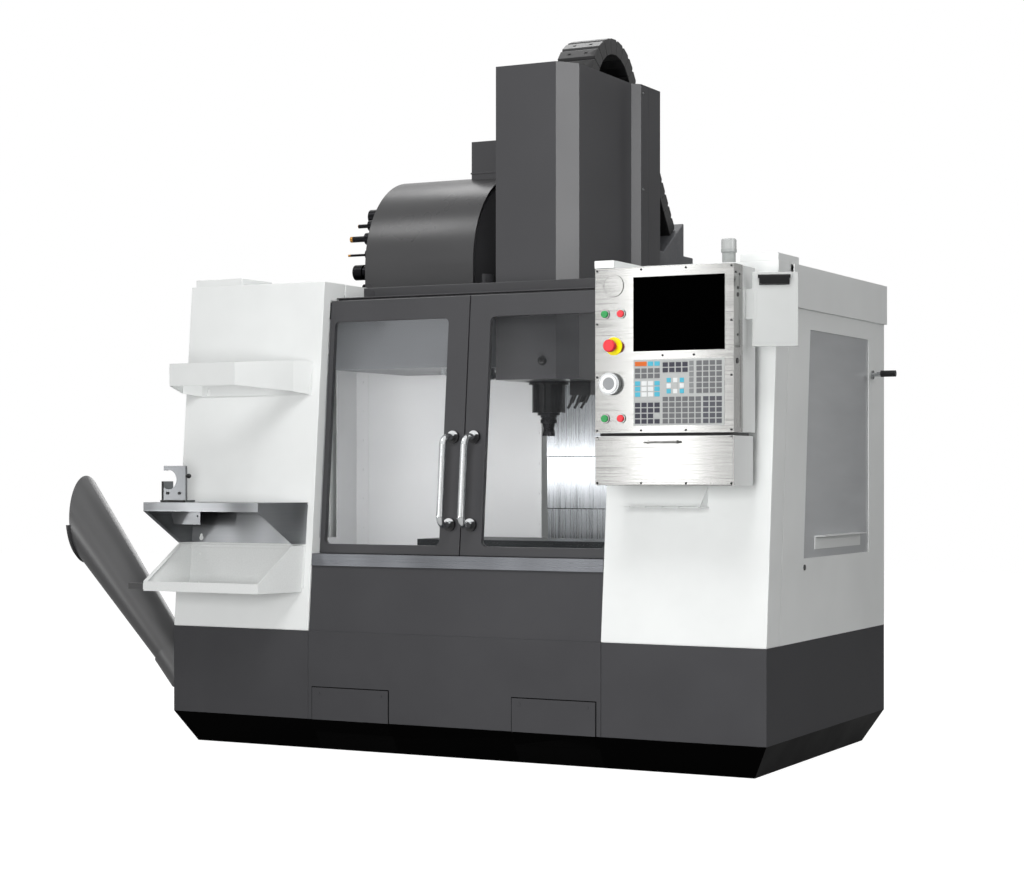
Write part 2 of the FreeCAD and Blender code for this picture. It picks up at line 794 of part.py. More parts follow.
def cover_outline(inset):
    """Plan of the head cover, its sheet shrunk by an inset."""
    i = inset
    return [(cover_left + i, cover_front + i), (cover_right - i * 0.4, cover_front + i),
            (bevel_side_x - i, bevel_side_y + i * 0.4), (bevel_side_x - i, cover_side_rear),
            (cover_wide_x - i, cover_wide_y + i * 0.4), (cover_wide_x - i, cover_rear),
            (-cover_wide_x + i, cover_rear), (-cover_wide_x + i, cover_wide_y + i),
            (cover_left + i, cover_side_rear + i)]


def head_cover():
    """Bevelled sheet cover around the head, open at the rear and slotted for the chain."""
    cover = prism_z(cover_outline(0), cover_low, cover_high)
    cover = cover.cut(prism_z(cover_outline(sheet), cover_low + sheet, cover_high - sheet))
    cover = cover.cut(box(-cover_wide_x + sheet, cover_open_y, cover_low - 1,
                          cover_wide_x - sheet, cover_rear + 1, cover_high + 1))
    cover = cover.cut(rod(92, (0, spindle_y, cover_low - 5), (0, spindle_y, cover_low + 10)))
    cover = cover.cut(box(chain_left - 6, chain_hub_y - chain_radius - chain_thick / 2 - 12,
                          cover_high - 10, chain_right + 6, cover_open_y + 1, cover_high + 5))
    seam_y = cover_wide_y + 70
    cover = cover.cut(box(cover_wide_x - 1.2, seam_y, cover_low, cover_wide_x + 1, seam_y + 2,
                          cover_high))
    heads = [rod(5, (cover_wide_x, cover_wide_y + 20, z), (cover_wide_x + 3, cover_wide_y + 20, z))
             for z in (cover_high - 34, cover_high - 415, cover_low + 60)]
    knob = Part.makeSphere(17, Vec(98, cover_front - 6, 1440))
    knob = knob.cut(box(60, cover_front, 1400, 140, cover_front + 40, 1480))
    return joined([cover, knob] + heads)


def spindle():
    """Turning spindle nose with the taper holder and the shell mill clamped in it."""
    shoulder = spindle_nose - 10
    nose = rod(44, (0, spindle_y, shoulder), (0, spindle_y, spindle_nose - seat))
    holder = rod(holder_radius, (0, spindle_y, 1212), (0, spindle_y, shoulder))
    groove = Part.makeTorus(holder_radius, 4, Vec(0, spindle_y, 1230), Vec(0, 0, 1))
    neck = Part.makeCone(20, 26, 22, Vec(0, spindle_y, 1190))
    return group([joined([nose, holder, neck]).cut(groove), face_mill()])


def face_mill():
    """Shell mill body with pockets for its inserts."""
    body = Part.makeCone(cutter_radius, 21, 28, Vec(0, spindle_y, cutter_low))
    for i in range(5):
        pocket = box(14, -3, cutter_low - 1, 40, 12, cutter_low + 16)
        pocket.rotate(Vec(0, 0, 0), Vec(0, 0, 1), i * 72)
        pocket.translate(Vec(0, spindle_y, 0))
        body = body.cut(pocket)
    return body


def chain_link(y, z, angle, half_inner, half_outer):
    """One closed link; its long direction lies at the given angle in the YZ plane."""
    t = chain_thick / 2
    outline = [(-half_inner, -t), (half_inner, -t), (half_outer, t - 9), (half_outer - 8, t),
               (-half_outer + 8, t), (-half_outer, t - 9)]
    link = prism_x(outline, chain_left, chain_right)
    for x in (chain_left + 45, chain_right - 45):
        link = link.cut(box(x - 6, -4, t - 3, x + 6, 4, t + 1))
    link.rotate(Vec(0, 0, 0), Vec(1, 0, 0), angle)
    link.translate(Vec(0, y, z))
    return link


def energy_chain():
    """Link chain that rises out of the head cover, arcs over and runs down to the wedge."""
    links = []
    gap = 0.25
    step = (180.0 - chain_arc_end) / chain_arc_links
    slope = math.tan(math.radians(step / 2))
    half_inner = (chain_radius - chain_thick / 2) * slope - gap
    half_outer = (chain_radius + chain_thick / 2 - 9) * slope - gap
    pitch = chain_run / chain_run_links
    half = pitch / 2 - gap
    links.append(chain_link(chain_hub_y - chain_radius, chain_hub_z - pitch / 2, 90, half, half))
    for i in range(chain_arc_links):
        a = math.radians(180.0 - step * (i + 0.5))
        links.append(chain_link(chain_hub_y + chain_radius * math.cos(a),
                                chain_hub_z + chain_radius * math.sin(a),
                                math.degrees(a) - 90.0, half_inner, half_outer))
    end = math.radians(chain_arc_end)
    y = chain_hub_y + chain_radius * math.cos(end)
    z = chain_hub_z + chain_radius * math.sin(end)
    run = math.radians(-chain_slope)
    for i in range(chain_run_links):
        s = pitch * (i + 0.5)
        links.append(chain_link(y + s * math.cos(run), z + s * math.sin(run), -chain_slope,
                                half, half))
    return group(links)


def z_cover(index):
    """Brushed way cover plate; each hangs in front of the next one down."""
    front = z_cover_front - z_cover_pitch * index
    low, high = z_cover_lows[index], z_cover_highs[index]
    plate = box(-z_cover_half, front, low, z_cover_half, front + thin_sheet, high)
    if index == 0:
        returns = [box(x, front + thin_sheet, low, x + thin_sheet, column_front, high)
                   for x in (-z_cover_half, z_cover_half - thin_sheet)]
        plate = joined([plate] + returns)
    if index == 1:
        plate = joined([plate, box(-z_cover_half, front, high - thin_sheet, z_cover_half,
                                   rear_wall_y - seat, high)])
    return plate


# ---- table ----
def saddle():
    """Cross slide casting with bearing blocks below and X rails on top."""
    y0, y1 = table_front + 8, table_front + table_depth - 8
    low = bed_top + rail_height + 12
    body = box(-saddle_half, y0, low, saddle_half, y1, saddle_top)
    blocks = []
    for x in (-y_rail_x, y_rail_x):
        for y in (y0 + 60, y1 - 60):
            block = box(x - 45, y - 50, bed_top + 14, x + 45, y + 50, low)
            way = rail_width / 2 + seat
            blocks.append(block.cut(box(x - way, y - 60, bed_top, x + way, y + 60,
                                        bed_top + rail_height + seat)))
    rails = [box(-saddle_half, y - rail_width / 2, saddle_top, saddle_half, y + rail_width / 2,
                 saddle_top + rail_height) for y in (y0 + 50, y1 - 50)]
    return joined([body] + blocks + rails)


def table():
    """Work table with T slots along X and bearing blocks on the saddle rails."""
    half = table_length / 2
    y0, y1 = table_front, table_front + table_depth
    low = table_top - table_thickness
    top = box(-half, y0, low, half, y1, table_top)
    for i in range(5):
        y = (y0 + y1) / 2 + (i - 2) * slot_pitch
        top = top.cut(box(-half, y - slot_width / 2, table_top - 34, half, y + slot_width / 2,
                          table_top))
        top = top.cut(box(-half, y - 14, table_top - 34, half, y + 14, table_top - 20))
    blocks = []
    for y in (y0 + 58, y1 - 58):
        for x in (-150, 150):
            block = box(x - 50, y - 45, saddle_top + 10, x + 50, y + 45, low)
            way = rail_width / 2 + seat
            blocks.append(block.cut(box(x - 60, y - way, saddle_top, x + 60, y + way,
                                        saddle_top + rail_height + seat)))
    return joined([top] + blocks)


# ---- tool changer ----
def changer_profile(inset, low, back):
    """Quarter round profile of the tool changer cover in (y, z), as a closed wire."""
    r = changer_radius - inset
    hub_y, hub_z = changer_front + changer_radius, changer_high - changer_radius
    a = Vec(0, changer_front + inset, low)
    b = Vec(0, changer_front + inset, hub_z)
    mid = Vec(0, hub_y - r * math.sqrt(0.5), hub_z + r * math.sqrt(0.5))
    c = Vec(0, hub_y, changer_high - inset)
    d = Vec(0, back, changer_high - inset)
    e = Vec(0, back, low)
    return Part.Wire([Part.makeLine(a, b), Part.Arc(b, mid, c).toShape(), Part.makeLine(c, d),
                      Part.makeLine(d, e), Part.makeLine(e, a)])


def changer_cover():
    """Rolled cover over the tool drum, open at both ends and notched for the drive box."""
    low = roof_top + thin_sheet
    width = changer_right - changer_left
    outer = Part.Face(changer_profile(0, low, changer_back)).extrude(Vec(width, 0, 0))
    inner = Part.Face(changer_profile(sheet, low - 1, changer_back + 1)).extrude(Vec(width, 0, 0))
    cover = outer.cut(inner)
    cover.translate(Vec(changer_left, 0, 0))
    return cover.cut(box(drive_left - 2, drive_front - 2, changer_high - 60, changer_right + 1,
                         drive_front + drive_depth + 2, changer_high + 60))


def changer_frame():
    """Bulkhead casting for drum and arm, tied to the column, with the drive box on top."""
    hub_y, hub_z = changer_front + changer_radius, changer_high - changer_radius
    low = roof_top + 14
    disc = rod(350, (bulkhead_left, hub_y, hub_z), (bulkhead_right, hub_y, hub_z))
    disc = disc.common(box(bulkhead_left, changer_front, low, bulkhead_right, hub_y, changer_high))
    plate = box(bulkhead_left, hub_y, low, bulkhead_right, bulkhead_rear, bulkhead_high)
    beam = box(bulkhead_left, bulkhead_rear - changer_beam_depth, low, -column_half_width,
               bulkhead_rear, changer_beam_high)
    drive = box(drive_left, drive_front, bulkhead_high - 10, changer_right - 2,
                drive_front + drive_depth, drive_high)
    band = box(drive_left - 3, drive_front - 3, changer_high + 6, changer_right - 2,
               drive_front + drive_depth + 3, changer_high + 12)
    web_high = low + 55
    housing = rod(45, (arm_x, spindle_y, arm_z + 30 + seat), (arm_x, spindle_y, web_high))
    web = box(bulkhead_left, spindle_y, low, bulkhead_right, hub_y, web_high)
    hub = rod(60, (bulkhead_left, drum_y, drum_z), (drum_face + seat, drum_y, drum_z))
    return joined([disc, plate, beam, drive, band, housing, web, hub])


def tool_drum():
    """Disc with a ring of pots that point left, each holding a mill, drill or tap."""
    x1 = drum_face
    disc = rod(drum_radius - 20, (x1 - 60, drum_y, drum_z), (x1, drum_y, drum_z))
    ring = rod(drum_radius + 40, (x1 - 90, drum_y, drum_z), (x1 - 50, drum_y, drum_z))
    pieces = [disc, ring]
    kinds = ((24, 56, 12, 73), (21, 40, 5, 88), (26, 52, 31, 40), (22, 66, 8, 52))
    x = x1 - 170
    for i in range(pot_count):
        a = 2 * math.pi * (i + 0.5) / pot_count
        y, z = drum_y + drum_radius * math.cos(a), drum_z + drum_radius * math.sin(a)
        body, length, bit, reach = kinds[i % len(kinds)]
        pieces.append(rod(pot_radius, (x, y, z), (x1 - 85, y, z)))
        pieces.append(rod(body, (x - length, y, z), (x, y, z)))
        pieces.append(rod(bit, (x - length - reach, y, z), (x - length, y, z)))
    return joined(pieces)


def lower_box_plan(inset, reach):
    """Plan of the lower changer box, stepped to pass the wide rear part of the head cover."""
    x0, x1 = lower_box_left + inset - reach, lower_box_right - inset
    y0, y1 = lower_box_front + inset - reach, lower_box_rear - inset + reach
    return [(x0, y0), (x1, y0), (x1, 430), (x1 - 50, 462), (x1 - 50, y1), (x0, y1)]


def changer_lower_box():
    """Closed box between the tool changer and the work space, with a lid on the roof."""
    lid_top = roof_top + thin_sheet
    low = lower_box_low
    walls = prism_z(lower_box_plan(0, 0), low, roof_top)
    walls = walls.cut(prism_z(lower_box_plan(sheet, 0), low + sheet, roof_top + 1))
    lid = prism_z(lower_box_plan(0, lower_box_lid), roof_top, lid_top)
    lid = lid.cut(box(lower_box_left + sheet, changer_front + 12, roof_top - 1, -235,
                      lower_box_rear - sheet, lid_top + 1))
    whole = joined([walls, lid])
    return whole.cut(rod(45 + seat, (arm_x, spindle_y, low - 1), (arm_x, spindle_y, lid_top + 1)))


def tool_arm():
    """Double ended exchange arm on its turning shaft, parked along Y."""
    shaft = rod(34, (arm_x, spindle_y, arm_z + 22), (arm_x, spindle_y, arm_z + 30))
    hub = rod(46, (arm_x, spindle_y, arm_z - 18), (arm_x, spindle_y, arm_z + 22))
    reach = arm_reach - 42
    bar = box(arm_x - 30, spindle_y - reach, arm_z - 12, arm_x + 30, spindle_y + reach, arm_z + 12)
    pieces = [shaft, hub, bar]
    for side in (-1, 1):
        y = spindle_y + side * arm_reach
        claw = rod(claw_radius, (arm_x, y, arm_z - 12), (arm_x, y, arm_z + 12))
        claw = claw.cut(rod(33, (arm_x, y, arm_z - 13), (arm_x, y, arm_z + 13)))
        mouth_x = (arm_x - 60, arm_x) if side < 0 else (arm_x, arm_x + 60)
        pieces.append(claw.cut(box(mouth_x[0], y - 60, arm_z - 13, mouth_x[1], y + 60, arm_z + 13)))
    return joined(pieces)


def electrical_cabinet():
    """Closed sheet steel cabinet behind the column with a raised vent plate."""
    y0, y1 = column_rear, column_rear + cabinet_depth
    shell = box(cabinet_left, y0, bed_top, cabinet_right, y1, cabinet_high)
    shell = shell.cut(box(cabinet_left + sheet, y0 + sheet, bed_top + sheet, cabinet_right - sheet,
                          y1 - sheet, cabinet_high - sheet))
    vent_right, vent_top = cabinet_right - 40, cabinet_high - 60
    return joined([shell, box(vent_right - vent_width, y1, vent_top - vent_height, vent_right,
                              y1 + 6, vent_top)])


# ---- pendant ----
def control_holes():
    """Cutters for the shafts of the buttons, stop knob and hand wheel."""
    shafts = [(button_radius, x, z) for x, z in button_places.values()]
    shafts += [(stop_stem, stop_x, stop_z), (dial_shaft, dial_x, dial_z)]
    return [rod(r + seat, (x, pendant_front - 1, z), (x, face_back + hole_depth, z))
            for r, x, z in shafts]


def rounded_rear(block, rear, radius):
    """Round the two upright rear edges of a block."""
    edges = [e for e in block.Edges if e.CenterOfMass.y > rear - 1
             and abs(e.tangentAt(e.FirstParameter).z) > 0.99]
    return block.makeFillet(radius, edges)


def pendant_housing():
    """White pendant body: screen housing, storage compartment below, swivel pin on top."""
    right = pendant_right - thin_sheet
    upper = rounded_rear(box(pendant_left + 3, face_back, upper_low + 1, right, upper_rear,
                             pendant_high - 1), upper_rear, 18)
    lower = rounded_rear(box(pendant_left, face_back, pendant_low, pendant_right, lower_rear,
                             lower_high), lower_rear, 18)
    lower = lower.cut(box(pendant_left + 12, face_back - 1, pendant_low + 12, pendant_right - 12,
                          lower_rear - 12, lower_high - 12))
    neck = box(pendant_left + 12, face_back + 12, lower_high, pendant_right - 12, lower_rear - 20,
               upper_low + 1)
    boss_top = pendant_arm_low - seat
    boss = rod(34, (pivot_x, pivot_y, pendant_high - 1), (pivot_x, pivot_y, boss_top))
    pin = rod(pivot_radius, (pivot_x, pivot_y, boss_top), (pivot_x, pivot_y, pendant_arm_low + 16))
    housing = joined([upper, lower, neck, boss, pin])
    housing = housing.cut(box(pendant_left + 8, face_back + hole_depth + 2, upper_low + 6, right - 5,
                              upper_rear - 5, pendant_high - 6))
    housing = housing.cut(box(screen_left - 6, face_back - 1, screen_low - 6, screen_right + 6,
                              face_back + 6, screen_high + 6))
    for hole in control_holes():
        housing = housing.cut(hole)
    return housing


def pendant_face():
    """Brushed faceplate with its side flange, button bezels and a blank round badge."""
    plate = box(pendant_left, pendant_front, upper_low, pendant_right, face_back, pendant_high)
    flange = box(pendant_right - thin_sheet, pendant_front, upper_low, pendant_right,
                 pendant_front + flange_depth, pendant_high)
    bezels = [rod(bezel_radius, (x, pendant_front - 5, z), (x, pendant_front, z))
              for x, z in button_places.values()]
    badge = rod(38, (badge_x, pendant_front - 4, badge_z), (badge_x, pendant_front, badge_z))
    badge = badge.cut(rod(33, (badge_x, pendant_front - 5, badge_z),
                          (badge_x, pendant_front - 2.5, badge_z)))
    face = joined([plate, flange, badge] + bezels)
    face = face.cut(box(screen_left, pendant_front - 1, screen_low, screen_right, face_back + 1,
                        screen_high))
    face = face.cut(box(pendant_right - 1.6, pendant_front + 21, flange_slot_low, pendant_right + 1,
                        pendant_front + 62, flange_slot_high))
    for x, z in button_places.values():
        face = face.cut(rod(button_radius + seat, (x, pendant_front - 6, z), (x, face_back + 1, z)))
    for hole in control_holes():
        face = face.cut(hole)
    return face


def side_dots():
    """Round plugs and the slide knob on the flange of the pendant."""
    x = pendant_right
    spots = ((18, 524, 4), (52, 520, 4), (36, 474, 5), (36, 452, 7), (36, 322, 4))
    knob_z = flange_slot_high - 17
    dots = [rod(r, (x, pendant_front + d, pendant_split + dz),
                (x + 1.6, pendant_front + d, pendant_split + dz)) for d, dz, r in spots]
    return dots + [rod(9, (x - 1.6, pendant_front + 31, knob_z), (x + 1.6, pendant_front + 31, knob_z))]


def pendant_screws():
    """Black cap screws around the faceplate, and the plugs on its side flange."""
    columns = [pendant_left + screw_margin + i * bolt_pitch for i in range(4)]
    row_pitch = (pendant_high - upper_low - 2 * screw_margin) / 3
    rows = [upper_low + screw_margin + i * row_pitch for i in range(4)]
    places = [(x, z) for x in columns for z in (rows[0], rows[3])]
    places += [(x, z) for x in (columns[0], columns[3]) for z in rows[1:3]]
    places += [(x, screen_low - 15) for x in (screen_left + 105, screen_right - 108)]
    screws = [rod(screw_head, (x, pendant_front - 2, z), (x, pendant_front, z)) for x, z in places]
    return group(screws + side_dots())


def push_button(x, z):
    front = pendant_front - button_proud
    cap = rod(button_radius, (x, front, z), (x, pendant_front + button_travel + 1, z))
    rim = [e for e in cap.Edges if e.CenterOfMass.y < front + 0.1]
    return cap.makeFillet(2, rim[:1])


def stop_plate():
    """Round yellow backing plate of the emergency stop."""
    plate = rod(30, (stop_x, pendant_front - 3, stop_z), (stop_x, pendant_front, stop_z))
    return plate.cut(rod(stop_stem + seat, (stop_x, pendant_front - 4, stop_z),
                         (stop_x, pendant_front + 1, stop_z)))


def stop_button():
    """Red mushroom head on its plunger."""
    front = pendant_front - 46
    head = rod(stop_radius, (stop_x, front, stop_z), (stop_x, front + 16, stop_z))
    rim = [e for e in head.Edges if e.CenterOfMass.y < front + 0.1]
    head = head.makeFillet(5, rim[:1])
    collar_end = pendant_front - 3 - stop_travel - seat
    collar = rod(14, (stop_x, front + 16, stop_z), (stop_x, collar_end, stop_z))
    stem = rod(stop_stem, (stop_x, front + 16, stop_z), (stop_x, face_back + 2, stop_z))
    return joined([head, collar, stem])


def hand_wheel():
    """Jog wheel with a knurled rim, raised face, finger dimple and dished centre."""
    front, back = pendant_front - 26, pendant_front - 2 - seat
    rim = rod(dial_radius, (dial_x, front + 4, dial_z), (dial_x, back, dial_z))
    for i in range(dial_notches):
        a = 2 * math.pi * i / dial_notches
        x, z = dial_x + dial_radius * math.cos(a), dial_z + dial_radius * math.sin(a)
        rim = rim.cut(rod(1.6, (x, front, z), (x, pendant_front, z)))
    face = rod(30, (dial_x, front, dial_z), (dial_x, front + 4, dial_z))
    cup = rod(23, (dial_x, front - 1, dial_z), (dial_x, front + 1.5, dial_z))
    shaft = rod(dial_shaft, (dial_x, back, dial_z), (dial_x, face_back + 6, dial_z))
    dimple = Part.makeSphere(6, Vec(dial_x - 16, front + 2, dial_z - 16))
    return joined([rim, face, shaft]).cut(cup).cut(dimple)


def screen():
    return box(screen_left - 5.6, face_back, screen_low - 5.6, screen_right + 5.6,
               face_back + 5.6, screen_high + 5.6)


def key(x, z, width, height):
    front = pendant_front - 1 - key_thick
    return box(x, front, z, x + width, pendant_front - 1, z + height)


def key_block(x, z, columns, rows, narrow=1.0):
    """Rows of equal keys; z is the foot of the lowest row."""
    return [key(x + i * key_pitch_x, z + j * key_pitch_z, key_width * narrow, key_height)
            for i in range(columns) for j in range(rows)]


def keypad():
    """Membrane sheet with its raised keys, laid out in blocks."""
    px, pz = key_pitch_x, key_pitch_z
    left, low = keys_left + 6, keys_low + 7
    mid = left + 4 * px + 6
    right = mid + 6 * px + 3
    keys = [box(keys_left, pendant_front - 1, keys_low, keys_right, pendant_front, keys_high)]
    keys += key_block(left, low, 4, 4)
    keys += key_block(left, low + 5 * pz - 2, 4, 3)
    keys += key_block(left, low + 8 * pz + 4, 4, 2)
    keys += key_block(left + 2 * px, low + 10 * pz + 8, 2, 1)
    keys.append(key(left, low + 10 * pz + 8, px + key_width, key_height))
    keys += key_block(mid, low, 6, 5)
    keys += key_block(mid, low + 9 * pz + 4, 4, 2)
    keys += key_block(mid + 0.6 * px, low + 5.4 * pz, 3, 3, 0.8)
    keys += key_block(mid + 4.05 * px, low + 5.4 * pz, 1, 6, 0.8)
    keys += key_block(right, low, 3, 5)
    keys += key_block(right - px, low + 5.4 * pz, 4, 6)
    keys += [key(left, low + 4 * pz, 4 * px - 5, 2.5), key(mid, low + 11 * pz + 4, 4 * px - 5, 2.5)]
    return joined(keys)


def storage_flap():
    """Hinged faceplate of the storage compartment with corner screws and a bar handle."""
    low, high = pendant_low + 2, lower_high - 1
    plate = box(pendant_left, pendant_front, low, pendant_right, face_back - seat, high)
    columns = [pendant_left + screw_margin + i * bolt_pitch for i in range(4)]
    places = [(x, low + screw_margin) for x in columns]
    places += [(x, high - screw_margin) for x in (columns[0], columns[3])]
    heads = [rod(screw_head, (x, pendant_front - 2, z), (x, pendant_front, z)) for x, z in places]
    x0, x1, z = pendant_left + 192.0, pendant_left + 297.0, lower_high - 20
    y = pendant_front - 20
    feet = [Part.makeCone(6, 3.4, 20, Vec(x, pendant_front, z), Vec(0, -1, 0)) for x in (x0, x1)]
    bar = rod(4, (x0 - 6, y, z), (x1 + 6, y, z))
    barrel = rod(flap_barrel, (pendant_left + 6, pendant_front, low),
                 (pendant_right - 6, pendant_front, low))
    return joined([plate, bar, barrel] + heads + feet)


def pendant_arm():
    """Square hanger that reaches from the front panel over the pendant."""
    low, high = pendant_arm_low, pendant_arm_high
    reach = box(pendant_arm_left, pendant_front, low, pendant_arm_right, front_y(high) + 20, high)
    arm = reach.cut(leaning_slab(pendant_arm_left - 1, pendant_arm_right + 1, low - 10, high + 10,
                                 0, 60))
    return arm.cut(rod(pivot_radius + running_fit, (pivot_x, pivot_y, low - 1),
                       (pivot_x, pivot_y, low + 18)))


def beacon():
    """Grey status light: foot, collar and rounded lens on the right front panel."""
    z = panel_top + 52
    foot = rod(23, (beacon_x, beacon_y, panel_top), (beacon_x, beacon_y, z - 10))
    collar = rod(27, (beacon_x, beacon_y, z - 10), (beacon_x, beacon_y, z))
    lens = rod(26, (beacon_x, beacon_y, z), (beacon_x, beacon_y, z + 37))
    rim = [e for e in lens.Edges if e.CenterOfMass.z > z + 36.9]
    return group([joined([foot, collar]), lens.makeFillet(6, rim[:1])])


def pendant_shelf():
    """Folded bracket under the pendant with a scalloped front edge."""
    z, x0, x1, y0 = pendant_low - 75, pivot_x, pivot_x + 285, pendant_front + 125
    shelf = box(x0, y0, z, x1, front_y(z) + 5, z + thin_sheet)
    for i in range(4):
        x = x0 + 52 + i * 60
        shelf = shelf.cut(rod(19, (x, y0 + 4, z - 1), (x, y0 + 4, z + 5)))
    back = leaning_slab(x0 + 14, x1 - 6, z, z + 68, -thin_sheet, thin_sheet)
    cheek = prism_x([(front_y(z) - thin_sheet, z), (y0 + 30, z),
                     (front_y(z + 68) - thin_sheet, z + 68)], x1 - 6 - thin_sheet, x1 - 6)
    return joined([shelf, back, cheek]).cut(leaning_slab(x0 - 5, x1 + 5, z - 20, z + 100, 0, 60))


def turned(shape):
    shape.rotate(Vec(board_x, board_y, 0), Vec(0, 0, 1), board_turn)
    return shape


def clipboard():
    """Paper board turned to the operator on a bracket from the pendant, with clip ears."""
    x0, x1 = board_x, board_x + board_width
    lip_y = board_y - 16
    plate = box(x0, board_y, board_low, x1, board_y + thin_sheet, board_low + board_height)
    lip = box(x0, lip_y, board_low, x1, board_y, board_low + thin_sheet)
    edge = box(x0, lip_y, board_low, x1, lip_y + thin_sheet, board_low + 9)
    clip_x0, clip_x1, clip_y, clip_z = clip_place()
    ears = [box(x, clip_y - 6, clip_z - 6, x + 3, board_y, clip_z + 6)
            for x in (clip_x0 - seat - 3, clip_x1 + seat)]
    board = turned(joined([plate, lip, edge] + ears))
    bracket = box(pendant_right - thin_sheet, board_y + 4, board_low + 90, board_x + 14,
                  board_y + 14, board_low + 190)
    return board.fuse(bracket).removeSplitter()


def clip_place():
    """X limits, Y and Z of the clip's barrel before the board is turned."""
    return board_x + 18, board_x + board_width - 24, board_y - 7, board_low + board_height - 14


def board_clip():
    """Spring clip: curved jaw on a round spring barrel."""
    x0, x1, y, z = clip_place()
    barrel = rod(6, (x0, y, z), (x1, y, z))
    jaw = prism_x([(y - 5, z), (y - 2, z - 24), (y + 6.6, z - 28), (y + 6.6, z - 25),
                   (y + 1, z - 22), (y - 2, z)], x0 + 4, x1 - 4)
    return turned(joined([barrel, jaw]))


# ---- trays ----
def tray_plan(x0, x1):
    """Plan between two points of the front edge, running back along the skewed walls."""
    reach = tray_depth + 30
    shift, rear = tray_skew * reach / tray_depth, tray_front + reach
    return [(x0, tray_front), (x1, tray_front), (x1 + shift, rear), (x0 + shift, rear)]


def tray_wall(x, width, outline):
    """Upright wall along the skew, its side view given as (y, z) points."""
    slab = prism_z(tray_plan(x, x + width), bin_low, work_table_top)
    return slab.common(prism_x(outline, x - 1, x + 2 * tray_skew))


def tray_back(z0, z1):
    return leaning_slab(tray_left + tray_skew, tray_right + tray_skew, z0, z1, -thin_sheet, thin_sheet)


def behind_front():
    """Everything behind the face of the leaning front, on the tray side."""
    return leaning_slab(tray_left - 40, -490, base_height - 20, panel_top, 0, 800)


def key_holes(shape, xs, zs, radius):
    """Round holes through a back plate."""
    for x in xs:
        for z in zs:
            shape = shape.cut(rod(radius, (x, front_y(z) - 30, z), (x, front_y(z) + 10, z)))
    return shape


def work_table():
    """Folded steel table: top, front lip, tapered gussets, a hem, a bracket and a back plate."""
    t = thin_sheet
    lip_low = work_table_top - work_table_lip
    top = prism_z(tray_plan(tray_left, tray_right), work_table_top - t, work_table_top)
    lip = box(tray_left, tray_front, lip_low, tray_right, tray_front + t, work_table_top)
    wall_high, wall_low = front_y(work_table_top), front_y(work_table_back)
    foot_y = wall_low - tray_foot
    side = [(tray_front, lip_low), (tray_front, work_table_top), (wall_high - 14, work_table_top),
            (wall_high - 4, work_table_top - 4), (wall_high + 1, work_table_top - 14),
            (wall_low + 1, work_table_back), (foot_y, work_table_back)]
    edge = [(tray_front, lip_low), (tray_front, lip_low + t), (foot_y, work_table_back + t),
            (wall_low, work_table_back + t), (wall_low, work_table_back), (foot_y, work_table_back)]
    gussets = [tray_wall(tray_left, t, side), tray_wall(tray_right - t, t, side),
               tray_wall(tray_left, tray_hem, edge)]
    bracket = prism_y([(tray_left + 26, work_table_top - t), (tray_left + 172, work_table_top - t),
                       (tray_left + 172, work_table_top - 84), (tray_left + 51, work_table_top - 84)],
                      tray_front + 120, tray_front + 123)
    bracket = bracket.cut(rod(4, (tray_left + 160, tray_front + 119, work_table_top - 52),
                              (tray_left + 160, tray_front + 124, work_table_top - 52)))
    back = tray_back(work_table_back, work_table_top - 14)
    whole = joined([top, lip, bracket, back] + gussets).cut(behind_front())
    xs = (tray_left + 112, tray_right + 40)
    return key_holes(key_holes(whole, xs, (784.0,), 6), xs, (774.0,), 10)


def storage_tray():
    """Open parts tray: floor, front lip, tapered walls with a hem, back wall and a side grip."""
    t = thin_sheet
    floor = prism_z(tray_plan(tray_left, tray_right), bin_low, bin_low + t)
    lip = box(tray_left, tray_front, bin_low, tray_right, tray_front + t, bin_low + bin_lip)
    lip_high = bin_low + bin_lip
    wall_high, wall_low = front_y(bin_back), front_y(bin_low)
    foot_y = wall_high - tray_foot
    side = [(tray_front, bin_low), (tray_front, lip_high), (foot_y, bin_back), (wall_high, bin_back),
            (wall_low + 1, bin_low + 14), (wall_low - 4, bin_low + 4), (wall_low - 14, bin_low)]
    edge = [(tray_front, lip_high), (tray_front, lip_high - t), (foot_y, bin_back - t),
            (wall_high, bin_back - t), (wall_high, bin_back), (foot_y, bin_back)]
    walls = [tray_wall(tray_left, t, side), tray_wall(tray_right - t, t, side),
             tray_wall(tray_left, tray_hem, edge)]
    rim_front = wall_high - 12
    rim = box(tray_left + tray_skew, rim_front, bin_back - t, tray_right + tray_skew - t, 0, bin_back)
    rim_lip = box(tray_left + tray_skew, rim_front, bin_back - 11, tray_right + tray_skew - t - 2,
                  rim_front + t, bin_back)
    whole = joined([floor, lip, tray_back(bin_low + 14, bin_back), rim, rim_lip] + walls)
    whole = whole.cut(behind_front())
    grip = box(tray_left - 68, tray_front - 2, bin_low + 6, tray_left, tray_front + 14, bin_low + 28)
    return group([key_holes(whole, (tray_left + 111, tray_right + 40), (607.0, 713.0), 5), grip])


